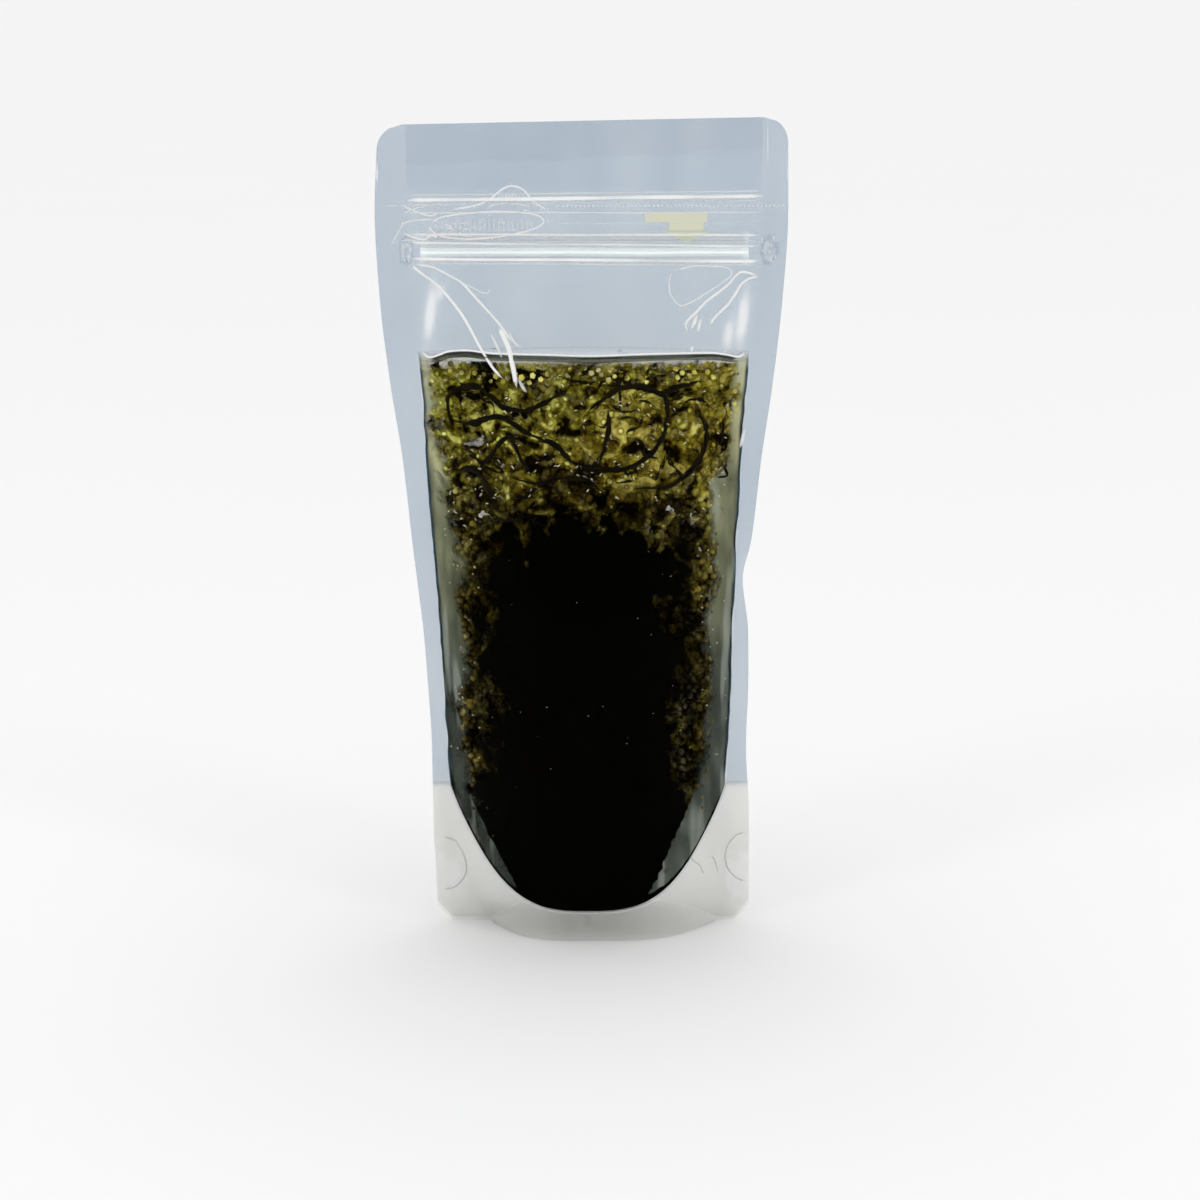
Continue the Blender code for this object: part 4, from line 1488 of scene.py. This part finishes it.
# The water's edge on the front film: x and height
MENISCUS_LINE = [
    (-41.2, 147.2), (-38.9, 145.6), (-36.2, 146.4), (-33.9, 147.3), (-29.2, 147.7), (-24.0, 147.2),
    (-19.0, 147.1), (-9.0, 147.0), (0.6, 146.8), (14.0, 147.1), (29.0, 147.0), (33.4, 146.5),
    (37.1, 145.7), (39.0, 147.0),
]


def add_strip(bunch, route, half_width, strength, colour, depth=STRIP_DEPTH):
    """A thin raised strip along a route on the front film, fading out at both ends: it carries painted
    highlights and glints, and the painted dark lines under the water's edge.
    """
    density = ROUTE_DENSITY if len(route) > 3 else 2
    path = on_front(route, depth * MM, density)
    count = len(path)
    from_end = np.minimum(np.arange(count), count - 1 - np.arange(count))
    fade = 0.25 + 0.75 * ease(from_end, 0, max(0.6 * density, 1.5))
    faces, points = tube(path, half_width * MM * fade, STRIP_SIDES, flat=STRIP_FLAT)
    bunch.add(points, faces, colour, np.repeat(strength * fade, STRIP_SIDES))


def pressed_line(bunch, number, level, left, right, rise, half_width, strength):
    """A straight pressed line across the front film, drawn as a painted highlight that comes and goes a
    little along its length.
    """
    x = np.linspace(left, right, LINE_POINTS)
    z = level + rise * x + 0.04 * np.sin(x * 0.13 + number)
    path = on_front(list(zip(x, z)), STRIP_DEPTH * MM, 1)
    along = np.arange(len(path))
    play = waves(along * MM, 0.0, 70 + number, 25 * MM)
    ends = ease(np.minimum(along, len(path) - 1 - along), 0, 3)
    radius = half_width * MM * (0.4 + 0.6 * ends) * (1 + 0.15 * play)
    faces, points = tube(path, radius, STRIP_SIDES, flat=STRIP_FLAT)
    strengths = np.repeat(strength * (0.3 + 0.7 * ends) * (0.95 + 0.2 * play), STRIP_SIDES)
    bunch.add(points, faces, HIGHLIGHT_AND_PRESSED_WHITE, np.clip(strengths, 0, 1))


def upper_glints(bunch, draw):
    """Small bright reflections on the film over the upper weed."""
    for _ in range(UPPER_GLINTS):
        x = draw.uniform(-36, 34)
        z = draw.uniform(113 - 14 * (x / 36) ** 2, 144)
        long = draw.uniform(0.25, 1.1)
        lean = draw.uniform(-0.8, 0.8)
        route = [(x, z), (x + long / 2, z + lean * 0.2 + 0.15), (x + long, z + lean)]
        add_strip(bunch, route, draw.uniform(0.06, 0.15), draw.uniform(0.35, 0.9), GLINT_CREAM)


def side_glints(bunch, draw):
    """The same over the weed at both sides."""
    for _ in range(SIDE_GLINTS):
        side = draw.choice([-1, 1])
        x = side * draw.uniform(27, 35)
        z = draw.uniform(44, 104)
        route = [(x, z), (x + 0.2, z + 0.15), (x + draw.uniform(0.2, 0.6), z + draw.uniform(-0.3, 0.3))]
        add_strip(bunch, route, draw.uniform(0.07, 0.18), draw.uniform(0.3, 0.8), GLINT_CREAM)


def dark_glints(bunch, draw):
    """A few faint specks of light over the black middle."""
    for _ in range(DARK_GLINTS):
        x = draw.uniform(-24, 24)
        z = draw.uniform(40, 100)
        route = [(x, z), (x + 0.15, z + 0.1), (x + 0.3, z)]
        add_strip(bunch, route, draw.uniform(0.05, 0.1), draw.uniform(0.12, 0.4), HIGHLIGHT_AND_PRESSED_WHITE)


def hump_hatch(bunch, draw):
    """Crossed creases in the hump over the wrinkled patch, drawn as painted highlights."""
    for x in np.arange(-24.5, -12.6, 0.85):
        top = 186.4 - 0.42 * abs(x + 18.6) * (0.5 + 0.1 * abs(x + 18.6))
        low = 182.9 + draw.uniform(-0.3, 0.3)
        if top > low + 0.4:
            for lean in (-0.5, 0.5):
                route = [(x, low), (x + lean / 2, (low + top) / 2), (x + lean, top)]
                add_strip(bunch, route, 0.12, 0.6, HIGHLIGHT_AND_PRESSED_WHITE)


def patch_hatch(bunch):
    """Crossed creases in the wrinkled patch over the zip's left part, drawn as painted highlights."""
    middle, level, half_long, half_high = PATCH
    for x in np.arange(-36.5, -12.6, 1.15):
        half = half_high * math.sqrt(max(1 - ((x - middle) / half_long) ** 2, 0))
        for lean in (-0.9, 0.9):
            route = [(x - lean / 2, level - half), (x, level), (x + lean / 2, level + half)]
            add_strip(bunch, route, 0.09, 0.32, HIGHLIGHT_AND_PRESSED_WHITE)


def small_wrinkles(bunch, draw):
    """Short wrinkles in three rows along the zip's left part, drawn as painted highlights."""
    for _ in range(SMALL_WRINKLES):
        x = draw.uniform(-45.5, -8)
        height = draw.choice(WRINKLE_ROWS) + draw.uniform(-1.3, 1.3)
        long = draw.uniform(0.5, 1.6)
        lean = draw.uniform(-0.5, 0.5)
        route = [(x, height), (x + long / 2, height + lean / 2), (x + long, height + lean)]
        add_strip(bunch, route, draw.uniform(0.08, 0.18), draw.uniform(0.35, 0.8), HIGHLIGHT_AND_PRESSED_WHITE)


def weld_curls(bunch, draw):
    """Short curls where the zip's ends are crushed, drawn as painted highlights."""
    middle, level, _, high, _ = WELD
    for _ in range(WELD_CURLS):
        side = draw.choice([-1, 1])
        x = side * middle + draw.uniform(-1.6, 1.6)
        height = level + draw.uniform(-high, high)
        bend = draw.uniform(-0.4, 0.4)
        end = draw.uniform(-0.8, 0.8)
        route = [(x, height), (x + bend, height + 0.6), (x + end, height + 1.2)]
        add_strip(bunch, route, draw.uniform(0.1, 0.22), draw.uniform(0.3, 0.7), HIGHLIGHT_AND_PRESSED_WHITE)


def crease_piece():
    """All the creases, pressed lines and small reflections of the front film, as one piece of painted
    highlights.
    """
    bunch = Bunch()
    for route, half_width, strength in CREASES:
        add_strip(bunch, route, half_width, strength, HIGHLIGHT_AND_PRESSED_WHITE)
    for number, line in enumerate(PRESSED_LINES):
        pressed_line(bunch, number, *line)
    draw = np.random.default_rng(17)
    hump_hatch(bunch, draw)
    patch_hatch(bunch)
    small_wrinkles(bunch, draw)
    weld_curls(bunch, draw)
    upper_glints(bunch, draw)
    side_glints(bunch, draw)
    dark_glints(bunch, draw)
    finished("film_front_crease_highlights", bunch.mesh("film_colour", "film_haze"), FILM_LOOK)


# The tear line: height, first and last dot and their spacing in mm, and the size and haze of a dot
TEAR_HEIGHT = 182.5
TEAR_DOTS = np.arange(-7.0, 48.0, 1.05)
TEAR_DOT_SIZE = (0.27 * MM, 0.12 * MM, 0.27 * MM)
TEAR_DOT_HAZE = 0.75


def tear_line():
    """A row of pressed dots that marks where the top tears off."""
    bunch = Bunch()
    shape, faces = ball(6, 4)
    for x in TEAR_DOTS:
        short = [(x - 0.1, TEAR_HEIGHT), (x, TEAR_HEIGHT), (x + 0.1, TEAR_HEIGHT)]
        path = on_front(short, -0.16 * MM)
        centre = path[len(path) // 2]
        bunch.add(centre + shape * TEAR_DOT_SIZE, faces, HIGHLIGHT_AND_PRESSED_WHITE, TEAR_DOT_HAZE)
    finished("tear_line_dots", bunch.mesh("film_colour", "film_haze"), FILM_LOOK)


# Painted dark lines of shade below the water's painted bright edge: drop, half width, strength and colour
UNDER_LINE = [
    (0.55, 0.26, 0.95, (0.010, 0.011, 0.004)), (1.25, 0.50, 0.60, (0.05, 0.05, 0.018)),
]


def waterline():
    """The meniscus against the front film: a painted highlight along its edge, with painted dark lines of
    shade under it.
    """
    bunch = Bunch()
    # Painted highlight along the water's edge
    add_strip(bunch, MENISCUS_LINE, 0.24, 1.0, HIGHLIGHT_AND_PRESSED_WHITE)
    for drop, half_width, strength, colour in UNDER_LINE:
        under = [(x, z - drop) for x, z in MENISCUS_LINE[1:-1]]
        add_strip(bunch, under, half_width, strength, colour, -0.1)
    finished("waterline", bunch.mesh("film_colour", "film_haze"), FILM_LOOK)


# Printed tear arrow, plain: height, then its left and right ends
ARROW = [
    (180.9, 14.0, 29.1), (178.75, 14.0, 29.1), (178.7, 19.9, 28.2), (176.75, 19.9, 28.2),
    (176.7, 17.8, 30.5), (173.9, 24.1, 24.3),
]
ARROW_CREAM = (0.88, 0.88, 0.66)
ARROW_HAZE = 0.55
ARROW_ROW = 0.3
ARROW_COLUMNS = 25
ARROW_GAP = 0.03 * MM
ARROW_INK = 0.02 * MM


def printed_arrow():
    """The plain arrow, laid on the film in short rows so that it follows its relief."""
    rows = []
    for first, last in zip(np.array(ARROW), np.array(ARROW[1:])):
        count = max(int((first[0] - last[0]) / ARROW_ROW), 1)
        rows += [first + (last - first) * (k / count) for k in range(count)]
    rows = np.array([*rows, ARROW[-1]]) * MM
    mesh, column, row = grid_mesh(ARROW_COLUMNS, len(rows))
    height, left, right = rows[row].T
    x = left + (right - left) * column / (ARROW_COLUMNS - 1)
    share = share_at(x, height)
    y = -(room(share, height) + film_relief(share, height, x, FRONT_SEED) + SHEET + ARROW_GAP)
    move_points(mesh, np.stack([x + LEAN, y, raised(x, height)], axis=1))
    paint(mesh, "film_colour", np.tile(np.array(ARROW_CREAM), (len(x), 1)))
    paint(mesh, "film_haze", np.full(len(x), ARROW_HAZE))
    piece = finished("printed_tear_arrow", mesh, FILM_LOOK)
    edit(piece, FACE_OUTWARDS)
    thicken(piece, ARROW_INK, 0)


crease_piece()
tear_line()
waterline()
printed_arrow()


# Stage, light and camera
FLOOR_SIZE = 60
FLOOR_DROP = 0.2 * MM
FLOOR_LIGHT = (0.930, 0.930, 0.930)
FLOOR_SHADE = (0.920, 0.920, 0.920)
FRONT_LIGHT = 0.48
BACK_LIGHT = 1.48
LIGHT_AIM = Vector((0, 0, 0.12))

# Lamps at the sides: name, place, size and power
STRIPS = [
    ("left_strip", (-0.75, -0.7, 0.75), 0.2, 1.0), ("right_strip", (0.75, -0.65, 0.8), 0.18, 0.8),
]


def floor():
    """The pale floor that the pouch stands on."""
    finish = Finish("pale_floor")
    look = finish.shade(
        Base_Color=finish.mix(finish.noise(4), FLOOR_SHADE, FLOOR_LIGHT),
        Roughness=0.9,
        Specular_IOR_Level=0.0,
    )
    bpy.ops.object.select_all(action="DESELECT")
    bpy.ops.mesh.primitive_grid_add(
        x_subdivisions=2, y_subdivisions=2, size=FLOOR_SIZE, location=(0, 0, -FLOOR_DROP),
    )
    ground = bpy.context.object
    ground.name = "floor"
    ground.data.materials.append(look)


def room_light():
    """Soft light from all round, stronger from behind the pouch."""
    world = bpy.data.worlds.new("soft_room")
    bpy.context.scene.world = world
    world.use_nodes = True
    tree = world.node_tree
    way = tree.nodes.new("ShaderNodeTexCoord")
    parts = tree.nodes.new("ShaderNodeSeparateXYZ")
    tree.links.new(way.outputs["Generated"], parts.inputs["Vector"])
    shade = tree.nodes.new("ShaderNodeMapRange")
    tree.links.new(parts.outputs["Y"], shade.inputs["Value"])
    for socket, number in (
        ("From Min", -1), ("From Max", 1), ("To Min", FRONT_LIGHT), ("To Max", BACK_LIGHT),
    ):
        shade.inputs[socket].default_value = number
    tree.links.new(shade.outputs["Result"], tree.nodes["Background"].inputs["Strength"])
    tree.nodes["Background"].inputs["Color"].default_value = (1, 1, 1, 1)


def side_lamps():
    """Two lamps that draw the bright lines down the sides of the film."""
    for name, place, size, power in STRIPS:
        lamp = bpy.data.lights.new(name, "AREA")
        lamp.size = size
        lamp.energy = power
        rig = bpy.data.objects.new(name, lamp)
        bpy.context.scene.collection.objects.link(rig)
        rig.location = place
        rig.rotation_euler = (LIGHT_AIM - Vector(place)).to_track_quat("-Z", "Y").to_euler()


# The camera: its size and place come from the pouch's own proportions in the picture
PITCH = math.radians(12)
DISTANCE = 0.75
LOOK_HEIGHT = 0.100
FRAME_PIXELS = 1200
FOCAL_PIXELS = 3004
SENSOR = 36
PIXELS_DOWN = 62.6
PIXELS_RIGHT = 12.5
NEAREST = 0.05
FARTHEST = 200


def camera():
    """Look slightly down on the pouch from the front."""
    data = bpy.data.cameras.new("photo_view")
    data.sensor_width = SENSOR
    data.lens = FOCAL_PIXELS / FRAME_PIXELS * SENSOR
    data.clip_start = NEAREST
    data.clip_end = FARTHEST
    rig = bpy.data.objects.new("photo_view", data)
    bpy.context.scene.collection.objects.link(rig)
    back = DISTANCE * math.cos(PITCH)
    up = DISTANCE * math.sin(PITCH)
    rig.location = (LEAN, -back, LOOK_HEIGHT + up)
    down = PITCH + math.atan(PIXELS_DOWN / FOCAL_PIXELS)
    right = math.atan(PIXELS_RIGHT / FOCAL_PIXELS)
    rig.rotation_euler = (math.pi / 2 - down, 0, -right)
    bpy.context.scene.camera = rig


floor()
room_light()
side_lamps()
camera()
bpy.context.scene.view_settings.view_transform = "Standard"
